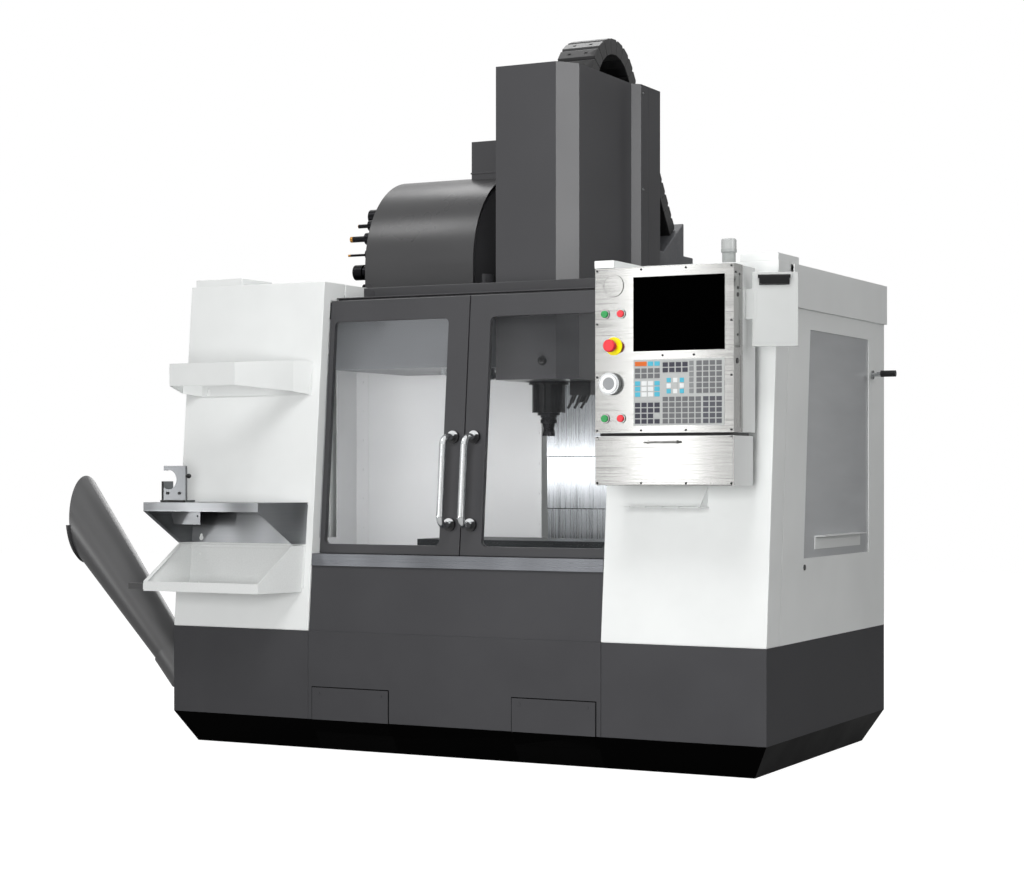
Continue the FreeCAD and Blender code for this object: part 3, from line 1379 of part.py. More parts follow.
def tool_rack():
    """Folded band that stands out from the panel as an open ring above the table."""
    t = thin_sheet
    wall = front_y(rack_high)
    fold = wall - 60
    plan = [(-1055.0, wall + 60), (-1122.0, wall - 8), (-1179.0, fold), (-1082.0, tray_front),
            (-791.0, tray_front), (-676.0, fold), (-572.0, wall + 60)]
    outer = face_of([(x, y, rack_low) for x, y in plan])
    inner = outer.makeOffset2D(-t, 2)
    height = Vec(0, 0, rack_high - rack_low)
    band = outer.extrude(height).cut(inner.extrude(height))
    low_taper = prism_x([(tray_front - 10, rack_low - 20), (tray_front - 10, rack_front_low),
                         (tray_front + t, rack_front_low), (fold, rack_low + 13),
                         (wall - 8, rack_low), (wall - 8, rack_low - 20)], -1200, -500)
    high_taper = prism_x([(tray_front - 10, rack_high + 20), (tray_front - 10, rack_front_high),
                          (tray_front + t, rack_front_high), (fold, rack_high - 1),
                          (wall - 14, rack_high - 1), (wall - 4, rack_high - 5),
                          (wall + 1, rack_high - 14), (wall + 80, rack_high - 14),
                          (wall + 80, rack_high + 20)], -1200, -500)
    back = leaning_slab(-1120.0, -626.0, rack_low, rack_high - 14, -thin_sheet, thin_sheet)
    xs = (-1089.0, -660.0)
    back = key_holes(key_holes(back, xs, (rack_low + 24,), 6), xs, (rack_low + 13,), 9)
    return joined([band.cut([low_taper, high_taper]), back]).cut(behind_front())


def tool_vise():
    """Holder for a tool taper: foot, upright plates with a round saddle, and a clamp knob."""
    x, y, z = vise_x, vise_y, work_table_top
    foot = box(x - 54, y - 8, z, x + 54, y + 62, z + 8)
    plate = box(x - 44, y, z + 8, x + 55, y + 12, z + 136)
    plate = plate.cut(rod(36, (x - 22, y - 1, z + 84), (x - 22, y + 13, z + 84)))
    plate = plate.cut(box(x - 60, y - 1, z + 62, x - 30, y + 13, z + 118))
    side = box(x - 54, y, z + 8, x - 44, y + 60, z + 78)
    rib = box(x - 8, y + 12, z + 8, x + 2, y + 60, z + 44)
    pins = [rod(5, (x + dx, y - 5, z + 34), (x + dx, y, z + 34)) for dx in (-26, 28)]
    stem = rod(4, (x + 55, y + 6, z + 98), (x + 62, y + 6, z + 98))
    knob = Part.makeSphere(9, Vec(x + 66, y + 6, z + 98))
    return joined([foot, plate, side, rib, stem, knob] + pins)


# ---- chip chute and conveyor ----
def chute_point(s):
    """Point on the chute axis at a distance s up from its anchor."""
    a = math.radians(chute_angle)
    return Vec(chute_anchor_x - s * math.cos(a), chute_y, chute_anchor_z + s * math.sin(a))


def chute_frustum(r_low, r_high, s0, s1):
    a = math.radians(chute_angle)
    along = Vec(-math.cos(a), 0, math.sin(a))
    if r_low == r_high:
        return Part.makeCylinder(r_low, s1 - s0, chute_point(s0), along)
    return Part.makeCone(r_low, r_high, s1 - s0, chute_point(s0), along)


def chip_chute():
    """Tapered discharge tube cut upright at its mouth, with its foot collar and wall flange."""
    length = (chute_anchor_x - chute_end_x) / math.cos(math.radians(chute_angle))
    s1 = length + 260
    r0 = chute_low_radius
    r1 = r0 + (chute_high_radius - r0) / length * s1
    bore = chute_frustum(r0 - chute_wall, r1 - chute_wall, 0, s1)
    foot_bore = chute_frustum(r0 - chute_wall, r0 - chute_wall, chute_foot - 200, 0)
    tube = joined([chute_frustum(r0, r1, 0, s1), chute_frustum(r0, r0, chute_foot, 0)])
    side_y = 400
    outside = box(chute_end_x, chute_y - side_y, 0, body_left, chute_y + side_y, 1400)
    tube = tube.common(outside)
    lip = chute_frustum(r0 + 9, r1 + 9, 0, s1)
    lip = lip.common(box(chute_end_x - 10, chute_y - side_y, 0, chute_end_x, chute_y + side_y, 815))
    collar = chute_frustum(r0 + 7, r0 + 7, chute_foot, 14).common(outside)
    flange = chute_frustum(r0 + 24, r0 + 24, -400, 200)
    flange = flange.common(box(body_left - 8, chute_y - side_y, toe_height, body_left,
                               body_front + 2 * (chute_y - body_front), base_height + 40))
    return joined([tube, lip, collar, flange]).cut(bore).cut(foot_bore)


def chip_auger():
    """Screw conveyor: a shaft with one continuous flight, lying in the trough."""
    shaft = rod(auger_shaft, (-trough_half + 4, chute_y, auger_z), (trough_half - 8, chute_y, auger_z))
    length = auger_pitch * auger_turns
    helix = Part.makeHelix(auger_pitch, length, 40)
    root = auger_shaft - 2
    band = Part.Wire(Part.makePolygon([Vec(root, 0, -2.5), Vec(auger_radius, 0, -2.5),
                                       Vec(auger_radius, 0, 2.5), Vec(root, 0, 2.5),
                                       Vec(root, 0, -2.5)]))
    flight = Part.Wire(helix).makePipeShell([band], True, True)
    flight.rotate(Vec(0, 0, 0), Vec(0, 1, 0), 90)
    flight.translate(Vec(-length / 2, chute_y, auger_z))
    return joined([shaft, flight])


def main():
    os.makedirs("parts", exist_ok=True)
    parts = {
        "base_casting": base_casting(), "levelling_screws": levelling_screws(),
        "base_skirt": base_skirt(), "fork_pocket_covers": fork_covers(),
        "door_sill": door_sill(), "left_front_panel": front_panel(-1),
        "right_front_panel": front_panel(1), "side_panels": side_panels(),
        "rear_and_roof": rear_and_roof(), "hood_beam": hood_beam(), "inner_walls": inner_walls(),
        "left_door": door(-1), "right_door": door(1),
        "left_door_window": door_window(-1), "right_door_window": door_window(1),
        "left_door_handle": door_handle(-1), "right_door_handle": door_handle(1),
        "left_side_window": side_window(-1), "right_side_window": side_window(1),
        "window_latch": window_latch(), "column": column(),
        "z_cover_low": z_cover(0), "z_cover_middle": z_cover(1), "z_cover_high": z_cover(2),
        "head_casting": head_casting(), "head_cover": head_cover(), "spindle": spindle(),
        "energy_chain": energy_chain(), "saddle": saddle(), "table": table(),
        "changer_cover": changer_cover(), "changer_frame": changer_frame(),
        "changer_lower_box": changer_lower_box(), "tool_drum": tool_drum(), "tool_arm": tool_arm(),
        "electrical_cabinet": electrical_cabinet(), "pendant_housing": pendant_housing(),
        "pendant_face": pendant_face(), "pendant_screws": pendant_screws(),
        "stop_plate": stop_plate(), "stop_button": stop_button(), "hand_wheel": hand_wheel(),
        "screen": screen(), "keypad": keypad(), "storage_flap": storage_flap(),
        "pendant_arm": pendant_arm(), "beacon": beacon(), "pendant_shelf": pendant_shelf(),
        "clipboard": clipboard(), "board_clip": board_clip(), "work_table": work_table(),
        "storage_tray": storage_tray(), "tool_rack": tool_rack(), "tool_vise": tool_vise(),
        "chip_chute": chip_chute(), "chip_auger": chip_auger(),
    }
    for name, (x, z) in button_places.items():
        parts[name] = push_button(x, z)
    for name, shape in parts.items():
        save(name, shape)
        print(name, len(shape.Solids), shape.isValid(), round(shape.Volume / 1000))
    print(len(parts), "nodes")


main()
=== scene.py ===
import itertools
import math

import bmesh
import bpy
from mathutils import Matrix, Vector


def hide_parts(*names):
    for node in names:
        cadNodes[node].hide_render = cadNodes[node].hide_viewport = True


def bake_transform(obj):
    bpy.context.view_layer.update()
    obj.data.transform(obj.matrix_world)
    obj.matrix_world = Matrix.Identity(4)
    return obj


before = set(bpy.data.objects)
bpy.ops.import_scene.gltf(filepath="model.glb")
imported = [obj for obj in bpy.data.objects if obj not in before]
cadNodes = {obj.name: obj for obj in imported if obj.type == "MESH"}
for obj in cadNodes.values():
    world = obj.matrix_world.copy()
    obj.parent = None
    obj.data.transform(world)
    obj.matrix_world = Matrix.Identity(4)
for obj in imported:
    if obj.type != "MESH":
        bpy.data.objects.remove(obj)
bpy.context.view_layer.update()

scene = bpy.context.scene


# camera and studio
cameraSettings = {
    "place": (3.6966, -7.3294, 1.0303),
    "turn": 27.24,        # degrees round Z, level view
    "lens": 75.67,
    "sensor": 36.0,
    "shiftY": 0.0288,
}

studioSettings = {
    "floorHalf": 14.0,
    "floorDrop": 0.001,   # keeps the floor just under the levelling pads
    "floorColor": "#8E8E8E",
    "floorLift": 0.95,    # camera-ray glow that takes the lit floor to white
    "floorShine": 0.3,    # the same for rays that metal and gloss send to the floor
    "ambient": 0.34,
    "lamps": {            # place, aim, width, height, watts, what it gives: light, sheen or both
        "mainBox": ((1.0, -2.6, 4.1), (0.0, -0.5, 1.0), 1.8, 1.6, 76.0, "light"),
        "frontFill": ((1.5, -5.0, 1.1), (0.0, -0.6, 1.1), 1.6, 1.8, 138.0, "light"),
        "sideFill": ((6.2, -0.6, 2.6), (1.3, 0.0, 1.4), 1.6, 1.6, 48.0, "light"),
        "keyStrip": ((-1.55, -6.5, 2.2), (0.0, -0.6, 1.2), 0.4, 3.2, 17.0, "sheen"),
        "overheadFront": ((-2.7, -2.3, 5.3), (0.0, 0.0, 1.6), 1.2, 1.2, 42.0, "sheen"),
        "rightStrip": ((6.6, -1.35, 3.2), (0.3, -0.1, 2.4), 0.9, 2.4, 131.0, "sheen"),
        "leftStrip": ((-4.7, -4.4, 0.6), (-1.5, -0.6, 0.6), 0.25, 1.2, 44.0, "sheen"),
        "topBank": ((-1.5, 2.2, 6.0), (0.0, 0.2, 1.2), 3.0, 2.4, 90.0, "both"),
        "backRim": ((-2.0, 6.5, 3.2), (0.0, 0.5, 1.6), 3.0, 2.4, 80.0, "both"),
        "workLamp": ((-0.2, -0.40, 1.05), (-0.2, 0.35, 1.05), 1.9, 0.14, 8.0, "both"),
    },
    "cardColor": "#050505",
    "cards": {            # foot centre, width and height of black cards that draw dark streaks
        "blackCardRight": ((5.6, -5.2, 0.0), 1.6, 4.0),
        "blackCardLeft": ((-6.2, -3.0, 0.0), 1.8, 4.0),
        "blackCardBack": ((2.55, 5.6, 0.0), 1.9, 4.2),
    },
}


def hexColor(code):
    # sRGB hex to the linear values that sockets take
    channels = [int(code.lstrip("#")[i:i + 2], 16) / 255 for i in (0, 2, 4)]
    linear = [c / 12.92 if c <= 0.04045 else ((c + 0.055) / 1.055) ** 2.4 for c in channels]
    return (*linear, 1.0)


def addNode(tree, kind, inputs=None, **attributes):
    node = tree.nodes.new("ShaderNode" + kind)
    for name, value in attributes.items():
        setattr(node, name, value)
    for name, value in (inputs or {}).items():
        if isinstance(value, bpy.types.NodeSocket):
            tree.links.new(value, node.inputs[name])
        else:
            node.inputs[name].default_value = value
    return node


def placeCamera(settings):
    data = bpy.data.cameras.new("camera")
    data.lens = settings["lens"]
    data.sensor_width = settings["sensor"]
    data.shift_y = settings["shiftY"]
    camera = bpy.data.objects.new("camera", data)
    camera.location = settings["place"]
    camera.rotation_euler = (math.pi / 2, 0, math.radians(settings["turn"]))
    scene.collection.objects.link(camera)
    scene.camera = camera


def placeLamp(name, place, aim, width, height, watts, gives):
    data = bpy.data.lights.new(name, "AREA")
    data.shape = "RECTANGLE"
    data.size = width
    data.size_y = height
    data.energy = watts
    lamp = bpy.data.objects.new(name, data)
    lamp.location = place
    lamp.rotation_euler = (Vector(aim) - Vector(place)).to_track_quat("-Z", "Y").to_euler()
    lamp.visible_camera = False
    lamp.visible_diffuse = gives != "sheen"
    lamp.visible_glossy = gives != "light"
    scene.collection.objects.link(lamp)


def placeCard(name, code, foot, width, height):
    # upright black card that faces the object and is seen in metal and gloss alone
    board = bmesh.new()
    bmesh.ops.create_grid(board, x_segments=1, y_segments=1, size=0.5)
    turn = Matrix.Rotation(math.atan2(foot[1], foot[0]) + math.pi / 2, 4, "Z")
    stand = Matrix.Translation((foot[0], foot[1], height / 2)) @ turn
    stand = stand @ Matrix.Rotation(math.pi / 2, 4, "X") @ Matrix.Diagonal((width, height, 1, 1))
    bmesh.ops.transform(board, matrix=stand, verts=board.verts)
    mesh = bpy.data.meshes.new(name)
    board.to_mesh(mesh)
    board.free()
    card = bpy.data.objects.new(name, mesh)
    scene.collection.objects.link(card)
    mat = bpy.data.materials.new(name + "Velvet")
    mat.use_nodes = True
    shader = mat.node_tree.nodes["Principled BSDF"]
    shader.inputs["Base Color"].default_value = hexColor(code)
    shader.inputs["Specular IOR Level"].default_value = 0.0
    mesh.materials.append(mat)
    for ray in ("camera", "diffuse", "transmission", "shadow", "volume_scatter"):
        setattr(card, "visible_" + ray, False)


def backgroundRays(tree):
    # 1 for rays that may see the white background: from the camera, metal, gloss and glass
    path = addNode(tree, "LightPath")
    seen = addNode(tree, "Math", {0: path.outputs["Is Camera Ray"], 1: path.outputs["Is Glossy Ray"]},
                   operation="MAXIMUM")
    seen = addNode(tree, "Math", {0: seen.outputs[0], 1: path.outputs["Is Transmission Ray"]},
                   operation="MAXIMUM")
    return seen.outputs[0]


def buildWorld(settings):
    world = bpy.data.worlds.new("studioWorld")
    world.use_nodes = True
    tree = world.node_tree
    tree.nodes.clear()
    glow = addNode(tree, "Background", {"Color": hexColor("#FFFFFF"), "Strength": settings["ambient"]})
    seen = addNode(tree, "Background", {"Color": hexColor("#FFFFFF"), "Strength": 1.0})
    mixed = addNode(tree, "MixShader", {0: backgroundRays(tree), 1: glow.outputs[0],
                                        2: seen.outputs[0]})
    addNode(tree, "OutputWorld", {"Surface": mixed.outputs[0]})
    scene.world = world


def buildFloor(settings):
    half = settings["floorHalf"]
    sheet = bmesh.new()
    bmesh.ops.create_grid(sheet, x_segments=1, y_segments=1, size=half)
    bmesh.ops.translate(sheet, verts=sheet.verts, vec=(0, 0, -settings["floorDrop"]))
    mesh = bpy.data.meshes.new("studioFloor")
    sheet.to_mesh(mesh)
    sheet.free()
    floor = bpy.data.objects.new("studioFloor", mesh)
    scene.collection.objects.link(floor)
    mat = bpy.data.materials.new("paintedStudioFloor")
    mat.use_nodes = True
    tree = mat.node_tree
    tree.nodes.clear()
    paint = addNode(tree, "BsdfDiffuse", {"Color": hexColor(settings["floorColor"])})
    path = addNode(tree, "LightPath")
    clear = addNode(tree, "Math", {0: path.outputs["Is Camera Ray"],
                                   1: path.outputs["Is Transmission Ray"]}, operation="MAXIMUM")
    lift = addNode(tree, "Math", {0: clear.outputs[0], 1: settings["floorLift"]},
                   operation="MULTIPLY")
    shine = addNode(tree, "Math", {0: path.outputs["Is Glossy Ray"], 1: settings["floorShine"],
                                   2: lift.outputs[0]}, operation="MULTIPLY_ADD")
    glow = addNode(tree, "Emission", {"Color": hexColor("#FFFFFF"), "Strength": shine.outputs[0]})
    both = addNode(tree, "AddShader", {0: paint.outputs[0], 1: glow.outputs[0]})
    addNode(tree, "OutputMaterial", {"Surface": both.outputs[0]})
    mesh.materials.append(mat)


scene.view_settings.view_transform = "Standard"
placeCamera(cameraSettings)
for lampName, lampValues in studioSettings["lamps"].items():
    placeLamp(lampName, *lampValues)
buildWorld(studioSettings)
buildFloor(studioSettings)
for cardName, cardValues in studioSettings["cards"].items():
    placeCard(cardName, studioSettings["cardColor"], *cardValues)
print("camera and studio ready")


# finishes
grainSizes = {            # mm along X, Y and Z
    "coatCloud": (260, 260, 260),
    "coatPeel": (7, 7, 7),            # the peel is nearer 2 mm; it is drawn coarser so that it shows
    "oilPatch": (45, 45, 45),
    "castSand": (9, 9, 9),            # sand is nearer 0.5 mm; it is drawn coarser so that it shows
    "castLump": (120, 120, 120),
    "capCloud": (12, 12, 12),
    "paneWipe": (300, 300, 60),
    "keySkin": (6, 6, 6),
}
# the toe code is painted shade: the charcoal toe under the skirt drawn near black
coatCodes = {"white": "#E3E5E4", "charcoal": "#3E3E40", "skirt": "#48484A", "toe": "#020202"}
paintedMarks = {          # limits in metres; places and radii of round marks in mm
    "screwBlackAndHemShadow": "#0A0A0A",                   # on brushed steel: the flap screws' own black, and painted shadow under the way-cover hems
    "toeTop": 0.1155,                     # painted shade: the charcoal toe under the skirt is drawn near black up to here
    "pocketOffset": 0.412,                # painted shadow line around the covers of the fork pockets
    "pocketHalf": 0.1645,
    "pocketTop": 0.2365,
    "pocketShadowLine": "#060606",
    "flapScrews": [(665, 1140), (1143, 1140), (665, 987), (824, 987), (984, 987), (1143, 987)],
    "flapScrewRadius": 3.8,
    "wayHemShadows": (0.871, 1.084),            # lower edges of the way covers; a painted shadow line runs under each
    "wayHemShadowHeight": 0.0032,
    "ledgeFrom": 1.1907,                  # pull ledge on the side window
    "housingLine": (1.1425, 1.1527),      # dark gap between the pendant's two housings
    "plug": (0.0, -268.0, 694.0),         # black plug on the right side wall
    "plugRadius": 10.5,
    "plugFrom": 1.1952,
    "dial": (717.0, 0.0, 1316.0),         # hand wheel with its face and its dished centre
    "dialFaceRadius": 30.0,
    "dialCupRadius": 21.0,
}


def startMaterial(name):
    mat = bpy.data.materials.new(name)
    mat.use_nodes = True
    return mat, mat.node_tree, mat.node_tree.nodes["Principled BSDF"]


def objectPoint(tree):
    return addNode(tree, "TexCoord").outputs["Object"]


def grain(tree, sizeMm, detail=2.0, rough=0.5):
    # noise whose blobs measure sizeMm along X, Y and Z
    spread = addNode(tree, "Mapping", {"Vector": objectPoint(tree),
                                       "Scale": [1000.0 / s for s in sizeMm]})
    noise = addNode(tree, "TexNoise", {"Vector": spread.outputs[0], "Scale": 1.0,
                                       "Detail": detail, "Roughness": rough})
    return noise.outputs[0]


def scaled(tree, value, low, high):
    # noise keeps mostly between 0.3 and 0.7
    ramp = addNode(tree, "MapRange", {"Value": value, "From Min": 0.3, "From Max": 0.7,
                                      "To Min": low, "To Max": high})
    return ramp.outputs[0]


def mixColor(tree, factor, first, second):
    mix = addNode(tree, "MixRGB", {"Fac": factor, "Color1": first, "Color2": second})
    return mix.outputs[0]


def tinted(tree, factor, code, share):
    # the colour, lightened and darkened by the share of itself
    base = hexColor(code)
    low = tuple(c * (1 - share) for c in base[:3]) + (1.0,)
    high = tuple(min(1.0, c * (1 + share)) for c in base[:3]) + (1.0,)
    return mixColor(tree, factor, low, high)


def beyond(tree, direction, limit):
    # 1 where the point lies further along the direction than the limit, in metres
    along = addNode(tree, "VectorMath", {0: objectPoint(tree), 1: direction},
                    operation="DOT_PRODUCT")
    return addNode(tree, "Math", {0: along.outputs["Value"], 1: limit},
                   operation="GREATER_THAN").outputs[0]


def between(tree, direction, low, high):
    inside = addNode(tree, "Math", {0: beyond(tree, direction, low),
                                    1: beyond(tree, direction, high)}, operation="SUBTRACT")
    return inside.outputs[0]


def within(tree, centre, radiusMm, plane=(1, 0, 1)):
    # 1 inside a round bar through the centre, which is in mm; the bar runs along the plane's 0
    offset = addNode(tree, "VectorMath", {0: objectPoint(tree), 1: [c / 1000.0 for c in centre]},
                     operation="SUBTRACT")
    flat = addNode(tree, "VectorMath", {0: offset.outputs[0], 1: plane}, operation="MULTIPLY")
    length = addNode(tree, "VectorMath", {0: flat.outputs[0]}, operation="LENGTH")
    return addNode(tree, "Math", {0: length.outputs["Value"], 1: radiusMm / 1000.0},
                   operation="LESS_THAN").outputs[0]


def allOf(tree, *factors):
    # 1 where every factor is 1
    result = factors[0]
    for factor in factors[1:]:
        result = addNode(tree, "Math", {0: result, 1: factor}, operation="MULTIPLY").outputs[0]
    return result


def bumped(tree, shader, height, strength, depthMm):
    bump = addNode(tree, "Bump", {"Height": height, "Strength": strength,
                                  "Distance": depthMm / 1000.0})
    tree.links.new(bump.outputs[0], shader.inputs["Normal"])


def powderCoat(name, code, roughness, share=0.035, gloss=0.5, zones=()):
    # polyester powder, sprayed and baked: an even satin skin with faint orange peel
    # zones: a function that marks where another color lies, then the color
    mat, tree, shader = startMaterial(name)
    cloud = grain(tree, grainSizes["coatCloud"], detail=3.0)
    color = tinted(tree, scaled(tree, cloud, 0.0, 1.0), code, share)
    for mark, zoneCode in zones:
        color = mixColor(tree, mark(tree), color, hexColor(zoneCode))
    tree.links.new(color, shader.inputs["Base Color"])
    peel = grain(tree, grainSizes["coatPeel"], detail=1.0)
    tree.links.new(scaled(tree, cloud, roughness - 0.04, roughness + 0.05),
                   shader.inputs["Roughness"])
    shader.inputs["Specular IOR Level"].default_value = gloss
    bumped(tree, shader, peel, strength=0.12, depthMm=0.5)
    return mat


def brushedSteel(name, code, roughness, streakMm, share, anisotropy, bandMm=None, bandShare=0.0,
                 marks=()):
    # stainless sheet with a belt-brushed face: long fine scratches that stretch each highlight
    # scratches are finer than 0.2 mm; they are drawn as wide as shows
    # bands are wide lighter and darker areas; marks are functions that say where black lies, for screw
    # heads and for painted shadow lines
    mat, tree, shader = startMaterial(name)
    streak = grain(tree, streakMm, detail=3.0, rough=0.65)
    color = tinted(tree, scaled(tree, streak, 0.0, 1.0), code, share)
    if bandMm:
        wide = scaled(tree, grain(tree, bandMm, detail=1.0), 1.0 - bandShare, 1.0 + bandShare)
        color = addNode(tree, "VectorMath", {0: color, "Scale": wide}, operation="SCALE").outputs[0]
    for mark in marks:
        color = mixColor(tree, mark(tree), color, hexColor(paintedMarks["screwBlackAndHemShadow"]))
    tree.links.new(color, shader.inputs["Base Color"])
    shader.inputs["Metallic"].default_value = 1.0
    tree.links.new(scaled(tree, streak, roughness - 0.07, roughness + 0.09),
                   shader.inputs["Roughness"])
    shader.inputs["Anisotropic"].default_value = anisotropy
    bumped(tree, shader, streak, strength=0.1, depthMm=0.08)
    return mat


def machinedSteel(name, code, roughness, lineMm=(3, 3, 60)):
    # ground and turned tool steel: grey metal with fine cutting lines and oily patches
    mat, tree, shader = startMaterial(name)
    lines = grain(tree, lineMm)
    patch = grain(tree, grainSizes["oilPatch"])
    color = tinted(tree, scaled(tree, patch, 0.0, 1.0), code, share=0.1)
    tree.links.new(color, shader.inputs["Base Color"])
    shader.inputs["Metallic"].default_value = 1.0
    tree.links.new(scaled(tree, lines, roughness - 0.08, roughness + 0.12),
                   shader.inputs["Roughness"])
    bumped(tree, shader, lines, strength=0.12, depthMm=0.1)
    return mat


def paintedCasting(name, code):
    # grey iron from a sand mould under thick enamel: soft lumps and sand speckle show through
    mat, tree, shader = startMaterial(name)
    sand = grain(tree, grainSizes["castSand"], detail=3.0, rough=0.7)
    lump = grain(tree, grainSizes["castLump"])
    color = tinted(tree, scaled(tree, sand, 0.0, 1.0), code, share=0.16)
    tree.links.new(color, shader.inputs["Base Color"])
    tree.links.new(scaled(tree, lump, 0.5, 0.68), shader.inputs["Roughness"])
    bumped(tree, shader, sand, strength=0.35, depthMm=0.9)
    return mat


def mouldedPlastic(name, code, roughness, grainMm=4.0, bump=0.15):
    # glass-filled nylon or ABS straight from the mould: fine matt texture, dull highlight
    mat, tree, shader = startMaterial(name)
    speck = grain(tree, (grainMm, grainMm, grainMm))
    tree.links.new(tinted(tree, scaled(tree, speck, 0.0, 1.0), code, share=0.06),
                   shader.inputs["Base Color"])
    tree.links.new(scaled(tree, speck, roughness - 0.04, roughness + 0.06),
                   shader.inputs["Roughness"])
    shader.inputs["IOR"].default_value = 1.5
    bumped(tree, shader, speck, bump, depthMm=0.2)
    return mat


def glossPlastic(name, code, gloss=0.5):
    # polished moulded cap: clean strong colour under a sharp highlight
    mat, tree, shader = startMaterial(name)
    cloud = grain(tree, grainSizes["capCloud"])
    tree.links.new(tinted(tree, cloud, code, share=0.05), shader.inputs["Base Color"])
    tree.links.new(scaled(tree, cloud, 0.16, 0.22), shader.inputs["Roughness"])
    shader.inputs["IOR"].default_value = 1.49
    shader.inputs["Specular IOR Level"].default_value = gloss
    return mat


def clearSheet(name, code, alpha, roughness, ledgeFrom=None):
    # laminated polycarbonate pane: faint grey tint, soft wipe marks that catch the light
    # what lies further out than ledgeFrom is the white ledge on the pane
    mat, tree, shader = startMaterial(name)
    wipe = grain(tree, grainSizes["paneWipe"])
    color = tinted(tree, wipe, code, share=0.04)
    cover = scaled(tree, wipe, alpha - 0.004, alpha + 0.004)
    if ledgeFrom is not None:
        ledge = beyond(tree, (1, 0, 0), ledgeFrom)
        color = mixColor(tree, ledge, color, hexColor(coatCodes["white"]))
        cover = addNode(tree, "Math", {0: cover, 1: ledge}, operation="MAXIMUM").outputs[0]
    tree.links.new(color, shader.inputs["Base Color"])
    tree.links.new(scaled(tree, wipe, roughness, roughness + 0.05), shader.inputs["Roughness"])
    tree.links.new(cover, shader.inputs["Alpha"])
    shader.inputs["IOR"].default_value = 1.58
    return mat


def zoned(name, base, zones, bumpMm, gloss=0.5):
    # one node of several finishes; each finish is color, metallic, roughness
    # zones: a function that marks where the finish lies, then the finish
    mat, tree, shader = startMaterial(name)
    cloud = grain(tree, (bumpMm, bumpMm, bumpMm))
    lightness = scaled(tree, cloud, 0.0, 1.0)
    color = tinted(tree, lightness, base[0], share=0.03)
    metallic, roughness = base[1], scaled(tree, cloud, base[2] * 0.95, base[2] * 1.05)
    for mark, finish in zones:
        side = mark(tree)
        color = mixColor(tree, side, color, tinted(tree, lightness, finish[0], share=0.05))
        metallic = addNode(tree, "Mix", {"Factor": side, 2: metallic, 3: finish[1]}).outputs[0]
        roughness = addNode(tree, "Mix", {"Factor": side, 2: roughness, 3: finish[2]}).outputs[0]
    tree.links.new(color, shader.inputs["Base Color"])
    tree.links.new(metallic, shader.inputs["Metallic"])
    tree.links.new(roughness, shader.inputs["Roughness"])
    shader.inputs["Specular IOR Level"].default_value = gloss
    bumped(tree, shader, cloud, strength=0.05, depthMm=0.2)
    return mat


def past(direction, limit):
    # marks what lies further along the direction than the limit
    return lambda tree: beyond(tree, direction, limit)


def twoTone(name, direction, limit, near, far, bumpMm=5.0, gloss=0.5):
    # two finishes that meet at a plane
    return zoned(name, near, [(past(direction, limit), far)], bumpMm, gloss)


brushedLook = {           # of the pendant's faceplates
    "code": "#A2A2A0", "roughness": 0.12, "streakMm": (500, 4, 2.6), "share": 0.03,
    "anisotropy": 0.5,
}
skirtLook = {"code": coatCodes["skirt"], "roughness": 0.4, "share": 0.05, "gloss": 0.012}
planeSettings = {         # direction, limit along it in metres, then color, metallic and roughness
    "handle": ((0, 1, -0.09), -0.6395, ("#DFE1E2", 1.0, 0.06), ("#111112", 0.0, 0.4)),
    "drum": ((-1, 0, 0), 0.858, ("#1C1C1E", 1.0, 0.3), ("#9A7038", 1.0, 0.3)),
    "beacon": ((0, 0, 1), 1.785, ("#9A9D9C", 0.0, 0.45), ("#A6A8A7", 0.0, 0.3)),
    "tray": ((-1, 0, 0), 1.2011, ("#D8DAD9", 0.0, 0.4), ("#111112", 0.0, 0.45)),
    "head": ((0, 0, -1), -1.3765, ("#1F1F21", 0.0, 0.5), ("#0B0B0C", 0.5, 0.12)),
    "latch": ((1, 0, 0), 1.2549, ("#B4B6B7", 1.0, 0.25), ("#131314", 0.0, 0.35)),
    "clip": ((0, 0, 1), 1.6745, ("#101011", 0.2, 0.25), ("#0C0C0D", 0.6, 0.12)),
    "chute": ((-1, 0, 0), 1.6941, ("#404041", 0.0, 0.4), ("#0B0B0C", 0.0, 0.5)),
}


def toeAndPocketLines(settings):
    # zones of the skirt: the toe drawn near black as painted shade, alone, and with painted shadow
    # lines around the fork pockets
    toe = (past((0, 0, -1), -settings["toeTop"]), coatCodes["toe"])
    lines = []
    # painted shadow: a dark box just larger than each pocket cover, seen only round its edge
    for x in (-settings["pocketOffset"], settings["pocketOffset"]):
        left, right = x - settings["pocketHalf"], x + settings["pocketHalf"]
        lines.append((lambda tree, left=left, right=right: allOf(
            tree, between(tree, (1, 0, 0), left, right),
            beyond(tree, (0, 0, -1), -settings["pocketTop"])), settings["pocketShadowLine"]))
    return [toe], [toe] + lines


def screwMarks(settings):
    return [lambda tree, x=x, z=z: within(tree, (x, 0, z), settings["flapScrewRadius"])
            for x, z in settings["flapScrews"]]


# painted shadow: a thin black line under each hem of the way covers
def hemShadowMarks(settings):
    return [lambda tree, low=low: between(tree, (0, 0, 1), low, low + settings["wayHemShadowHeight"])
            for low in settings["wayHemShadows"]]


def housingLine(tree):
    return between(tree, (0, 0, 1), *paintedMarks["housingLine"])


def plugMark(tree):
    return allOf(tree, beyond(tree, (1, 0, 0), paintedMarks["plugFrom"]),
                 within(tree, paintedMarks["plug"], paintedMarks["plugRadius"], (0, 1, 1)))


def dialMark(radius):
    return lambda tree: within(tree, paintedMarks["dial"], radius)


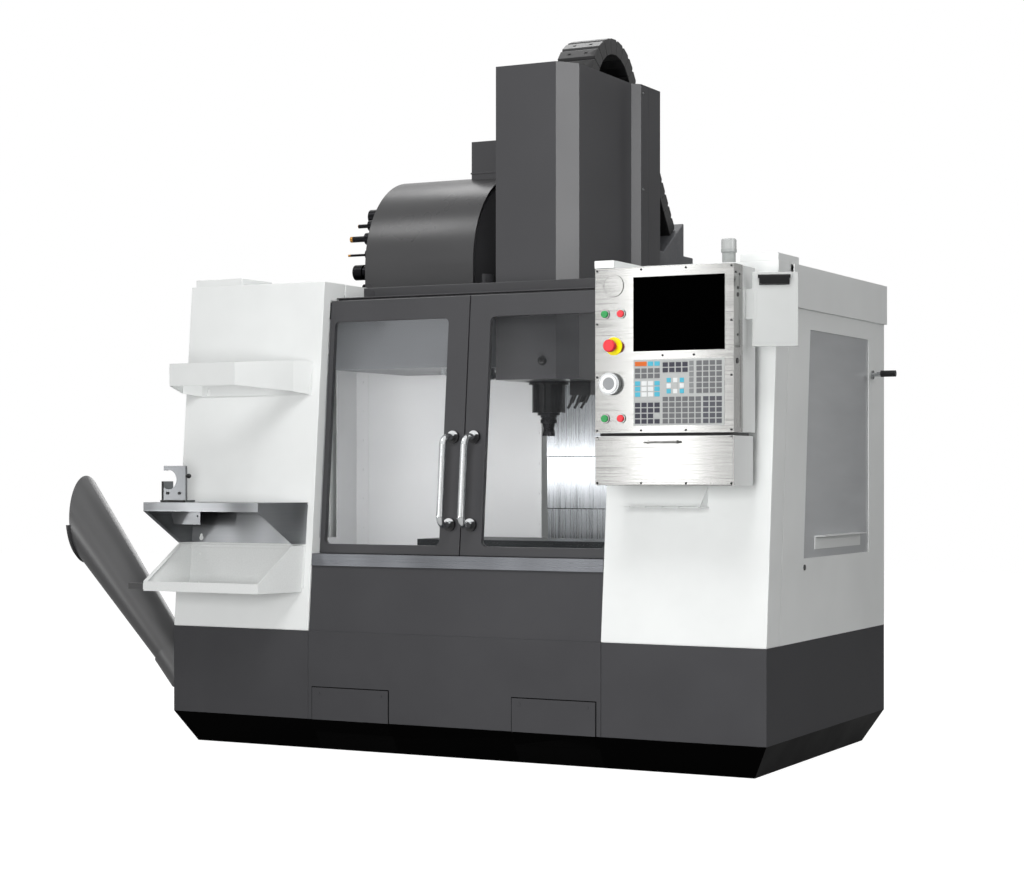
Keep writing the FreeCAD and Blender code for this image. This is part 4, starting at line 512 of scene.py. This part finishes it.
whiteCoat = powderCoat("whitePowderCoat", coatCodes["white"], 0.4)
boardCoat = powderCoat("paleBoardCoat", "#B7B9B8", 0.4)
rackCoat = powderCoat("paleRackCoat", "#D8DAD9", 0.4)
charcoalCoat = powderCoat("charcoalPowderCoat", coatCodes["charcoal"], 0.3, share=0.05, gloss=0.3)
toeOnly, toeAndLines = toeAndPocketLines(paintedMarks)
# painted shade: the toe of the pocket covers drawn near black
toeShadeSkirtCoat = powderCoat("charcoalSkirtCoatWithToeShade", zones=toeOnly, **skirtLook)
# painted shade: near-black toe and painted shadow lines round the fork-pocket covers
pocketShadowSkirtCoat = powderCoat("charcoalSkirtCoatWithPaintedShadows", zones=toeAndLines, **skirtLook)
linerPaint = powderCoat("linerPaint", "#D4D5D6", 0.35)
changerBoxPaint = powderCoat("changerBoxPaint", "#77797C", 0.4, gloss=0.3)
coverSatin = powderCoat("rolledCoverPaint", "#3E3E3F", 0.3, share=0.05, gloss=0.3)
casting = paintedCasting("enamelledCasting", "#55565A")
columnCasting = paintedCasting("enamelledColumnCasting", "#4A4B4E")
plateBrushed = brushedSteel("brushedFaceplate", **brushedLook)
flapBrushed = brushedSteel("brushedFlap", marks=screwMarks(paintedMarks), **brushedLook)
sillBrushed = brushedSteel("brushedSillSteel", "#6E7074", 0.3, (600, 5, 4), 0.04, 0.6,
                           (260, 900, 900), 0.3)
# painted shadow lines under the way-cover hems
wayBrushed = brushedSteel("brushedWayCoverSteelWithHemShadows", "#8E9194", 0.27, (5, 5, 700), 0.06, 0.6,
                          (26, 900, 900), 0.08, hemShadowMarks(paintedMarks))
trayBrushed = brushedSteel("brushedTraySteel", "#8A8C8E", 0.36, (400, 300, 5), 0.05, 0.5,
                           (220, 220, 220), 0.5)
handleMaterial = twoTone("chromeTubeAndBlackBosses", *planeSettings["handle"])
groundSteel = machinedSteel("groundToolSteel", "#8F9294", 0.3)
darkSteel = machinedSteel("blackedToolSteel", "#1C1C1E", 0.3, (60, 3, 3))
drumSteel = twoTone("blackedDrumAndBronzeTips", *planeSettings["drum"], bumpMm=6.0)
tableSteel = machinedSteel("groundTableIron", "#333537", 0.38, (40, 4, 4))
zincScrew = machinedSteel("zincPlatedSteel", "#A7A9A6", 0.35, (4, 4, 4))
chainNylon = mouldedPlastic("blackChainNylon", "#101011", 0.42, 6.0, 0.1)
blackPlastic = mouldedPlastic("blackMouldedPlastic", "#161617", 0.4)
doorPane = clearSheet("polycarbonateDoorPane", "#C9CDD0", 0.012, 0.02)
sidePane = clearSheet("smokedSidePane", "#C4C6C8", 0.86, 0.18)
ledgedSidePane = clearSheet("smokedSidePaneWithLedge", "#C4C6C8", 0.86, 0.18,
                            paintedMarks["ledgeFrom"])
redCap = glossPlastic("redPolishedCap", "#D62430")
greenCap = glossPlastic("greenPolishedCap", "#1F8A45")
yellowPlate = mouldedPlastic("yellowMouldedDisc", "#F2E211", 0.4)
screenGlass = glossPlastic("blackScreenGlass", "#010101", 0.0)
lensPlastic = twoTone("beaconGreyAndLens", *planeSettings["beacon"])
trayCoat = twoTone("whiteTrayAndBlackGrip", *planeSettings["tray"])
headCasting = twoTone("castHeadAndBlackNose", *planeSettings["head"], gloss=0.25)
latchMaterial = twoTone("steelLatchAndBlackGrip", *planeSettings["latch"])
clipMaterial = twoTone("blackSpringClip", *planeSettings["clip"])
headCoat = zoned("charcoalHeadCoat", (coatCodes["charcoal"], 0.0, 0.3), [
    (past((1, 0, 0), 0.2423), ("#C9CBCC", 1.0, 0.2)),        # screws
    (past((0, -1, 0), 0.0875), ("#1A1A1B", 0.0, 0.3)),       # knob
], 260.0, 0.3)
housingCoat = zoned("whiteHousingCoat", (coatCodes["white"], 0.0, 0.4),
                    [(housingLine, ("#0A0A0B", 0.0, 0.5))], 260.0)
sideCoat = zoned("whiteSideCoatAndPlug", (coatCodes["white"], 0.0, 0.4),
                 [(plugMark, ("#0C0C0D", 0.0, 0.4))], 260.0)
viseMaterial = zoned("groundViseAndBlackParts", ("#77797B", 1.0, 0.32), [
    (past((1, 0, 0), -1.0458), ("#0D0D0E", 0.0, 0.35)),      # clamp knob
    (past((-1, 0, 0), 1.1451), ("#1B1B1C", 0.6, 0.4)),       # side plate
    (past((0, -1, 0), 0.7702), ("#1B1B1C", 0.4, 0.4)),       # pins and the foot's edge
], 12.0)
chuteMaterial = twoTone("chuteAndBlackRim", *planeSettings["chute"], 260.0, 0.8)
dialMaterial = zoned("turnedAluminiumDial", ("#C4C6C7", 1.0, 0.28), [
    (dialMark(paintedMarks["dialFaceRadius"]), ("#E8E9E9", 0.0, 0.35)),
    (dialMark(paintedMarks["dialCupRadius"]), ("#8C8E90", 0.0, 0.4)),
], 4.0)


# coloured keys; one letter per key names its color, and a full stop leaves the membrane
keypadSettings = {
    "left": 803.0, "low": 1183.0, "pitchX": 23.3, "pitchZ": 18.2,     # mm
    "lead": 2.0,           # mm of a color's field left of its first key and below it
    "proudFrom": 0.8201,   # metres; keys stand out of the membrane past it
    "membrane": "#A9ABAA", "colors": {
        "o": "#C4622B", "c": "#4FA6BC", "w": "#D2D4D4", "g": "#646567", "d": "#3A3A43",
        "n": "#4E4F55", "l": "#7C7E7F",
    },
    "blocks": [            # across in pitches and mm, up in pitches and mm, rows from the lowest up
        (0, 0, 0, 0, ["dddd", "ddd.", "dddd", "dddd"]),
        (0, 0, 5, -2, ["cwwc"] * 3),
        (0, 0, 8, 4, ["gggg"] * 2),
        (0, 0, 10, 8, ["oocc"]),
        (4, 6, 0, 0, ["gggggg"] * 5),
        (4, 6, 9, 4, ["dddd"] * 2),
        (4.6, 6, 5.4, 0, ["cwc", "w.w", "cwc"]),
        (8.05, 6, 5.4, 0, ["l"] * 6),
        (10, 9, 0, 0, ["nnn"] * 5),
        (9, 9, 5.4, 0, ["gggg"] * 6),
    ],
}


def keyFields(settings):
    # left, right, low and high of each run of one color, in mm, by its letter
    fields = {}
    for across, acrossMm, up, upMm, rows in settings["blocks"]:
        left = settings["left"] + across * settings["pitchX"] + acrossMm - settings["lead"]
        low = settings["low"] + up * settings["pitchZ"] + upMm - settings["lead"]
        for row, letters in enumerate(rows):
            z0 = low + row * settings["pitchZ"]
            column = 0
            for letter, run in itertools.groupby(letters):
                x0 = left + column * settings["pitchX"]
                count = len(list(run))
                column += count
                if letter != ".":
                    fields.setdefault(letter, []).append(
                        (x0, x0 + count * settings["pitchX"], z0, z0 + settings["pitchZ"]))
    return fields


def keypadMaterial(settings):
    # printed polyester overlay: satin keys whose color lies under a fine matt skin
    mat, tree, shader = startMaterial("printedKeyOverlay")
    cloud = grain(tree, grainSizes["keySkin"])
    spot = addNode(tree, "SeparateXYZ", {"Vector": objectPoint(tree)})
    color = hexColor(settings["membrane"])
    proud = beyond(tree, (0, -1, 0), settings["proudFrom"])
    for letter, fields in keyFields(settings).items():
        total = None
        for x0, x1, z0, z1 in fields:
            sides = []
            for socket, low, high in (("X", x0, x1), ("Z", z0, z1)):
                centre, half = (low + high) / 2000, (high - low) / 2000      # mm to metres
                sides.append(addNode(tree, "Math", {0: spot.outputs[socket], 1: centre, 2: half},
                                     operation="COMPARE").outputs[0])
            inside = allOf(tree, *sides)
            total = inside if total is None else addNode(
                tree, "Math", {0: total, 1: inside}, operation="MAXIMUM").outputs[0]
        color = mixColor(tree, allOf(tree, total, proud), color,
                         hexColor(settings["colors"][letter]))
    tree.links.new(color, shader.inputs["Base Color"])
    tree.links.new(scaled(tree, cloud, 0.38, 0.5), shader.inputs["Roughness"])
    shader.inputs["Specular IOR Level"].default_value = 0.3
    bumped(tree, shader, cloud, strength=0.05, depthMm=0.1)
    return mat


printedKeys = keypadMaterial(keypadSettings)

finishes = {
    "base_skirt": pocketShadowSkirtCoat, "fork_pocket_covers": toeShadeSkirtCoat, "door_sill": sillBrushed,
    "left_front_panel": whiteCoat, "right_front_panel": whiteCoat, "side_panels": sideCoat,
    "rear_and_roof": whiteCoat, "hood_beam": charcoalCoat, "inner_walls": linerPaint,
    "left_door": charcoalCoat, "right_door": charcoalCoat,
    "left_door_window": doorPane, "right_door_window": doorPane,
    "left_door_handle": handleMaterial, "right_door_handle": handleMaterial,
    "left_side_window": sidePane, "right_side_window": ledgedSidePane,
    "window_latch": latchMaterial, "column": columnCasting, "z_cover_low": wayBrushed,
    "z_cover_middle": wayBrushed, "z_cover_high": wayBrushed, "head_casting": headCasting,
    "head_cover": headCoat, "spindle": darkSteel, "energy_chain": chainNylon,
    "saddle": casting, "table": tableSteel, "changer_cover": coverSatin,
    "changer_frame": charcoalCoat, "changer_lower_box": changerBoxPaint,
    "tool_drum": drumSteel, "tool_arm": groundSteel, "electrical_cabinet": whiteCoat,
    "pendant_housing": housingCoat, "pendant_face": plateBrushed, "pendant_screws": blackPlastic,
    "stop_plate": yellowPlate, "stop_button": redCap, "hand_wheel": dialMaterial,
    "screen": screenGlass, "keypad": printedKeys, "storage_flap": flapBrushed,
    "pendant_arm": whiteCoat, "beacon": lensPlastic, "pendant_shelf": whiteCoat,
    "clipboard": boardCoat, "board_clip": clipMaterial, "work_table": trayBrushed,
    "storage_tray": trayCoat, "tool_rack": rackCoat, "tool_vise": viseMaterial,
    "chip_chute": chuteMaterial, "chip_auger": groundSteel, "base_casting": casting,
    "levelling_screws": zincScrew, "power_on_button": greenCap, "cycle_start_button": greenCap,
    "power_off_button": redCap, "feed_hold_button": redCap,
}

for nodeName, finish in finishes.items():
    for materialSlot in cadNodes[nodeName].material_slots:
        materialSlot.material = finish
print("finishes on", len(finishes), "nodes")


# link chain between the column and the head
meshFit = {"weld": 0.00001, "sharp": math.radians(38)}     # for the loose triangles of CAD nodes
chainSettings = {
    "corner": 0.002,                     # width of the moulded corners
    "columnEnd": (0.12, 0.920, 2.018),   # the end that stays
    "headEnd": (0.12, 0.151, 2.454),     # the end that moves with the head
}


def buildChain(settings):
    shape = bmesh.new()
    shape.from_mesh(cadNodes["energy_chain"].data)
    bmesh.ops.remove_doubles(shape, verts=shape.verts, dist=meshFit["weld"])
    sharp = [e for e in shape.edges if len(e.link_faces) == 2
             and e.calc_face_angle() > meshFit["sharp"]]
    bmesh.ops.bevel(shape, geom=sharp, offset=settings["corner"], segments=2, profile=0.5,
                    affect="EDGES", clamp_overlap=True)
    mesh = bpy.data.meshes.new("bendingChain")
    shape.to_mesh(mesh)
    shape.free()
    chain = bpy.data.objects.new("bendingChain", mesh)
    scene.collection.objects.link(chain)
    mesh.materials.append(chainNylon)
    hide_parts("energy_chain")
    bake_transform(chain)


buildChain(chainSettings)
print("chain ready")


# rounded sheet edges
edgeSettings = {          # width in mm of the fold at each node's corners
    "base_skirt": 2.5, "fork_pocket_covers": 1.0, "left_front_panel": 3.0,
    "right_front_panel": 3.0, "side_panels": 2.0, "rear_and_roof": 2.0, "hood_beam": 1.5,
    "left_door": 2.0, "right_door": 2.0, "head_cover": 2.5, "electrical_cabinet": 3.0,
    "door_sill": 1.2, "pendant_housing": 1.5, "pendant_face": 0.8, "storage_flap": 0.8,
    "clipboard": 0.9, "work_table": 1.0, "storage_tray": 1.0, "tool_rack": 1.0,
    "changer_frame": 3.0, "changer_lower_box": 2.0, "column": 5.0,
    "pendant_arm": 1.5, "tool_vise": 0.8, "saddle": 4.0, "base_casting": 5.0,
}


def roundEdges(nodeName, widthMm):
    item = cadNodes[nodeName]
    weld = item.modifiers.new("weld", "WELD")
    weld.merge_threshold = meshFit["weld"]
    fold = item.modifiers.new("fold", "BEVEL")
    fold.width = widthMm / 1000.0
    fold.segments = 2
    fold.limit_method = "ANGLE"
    fold.angle_limit = meshFit["sharp"]


for nodeName, widthMm in edgeSettings.items():
    roundEdges(nodeName, widthMm)
print("edges rounded")
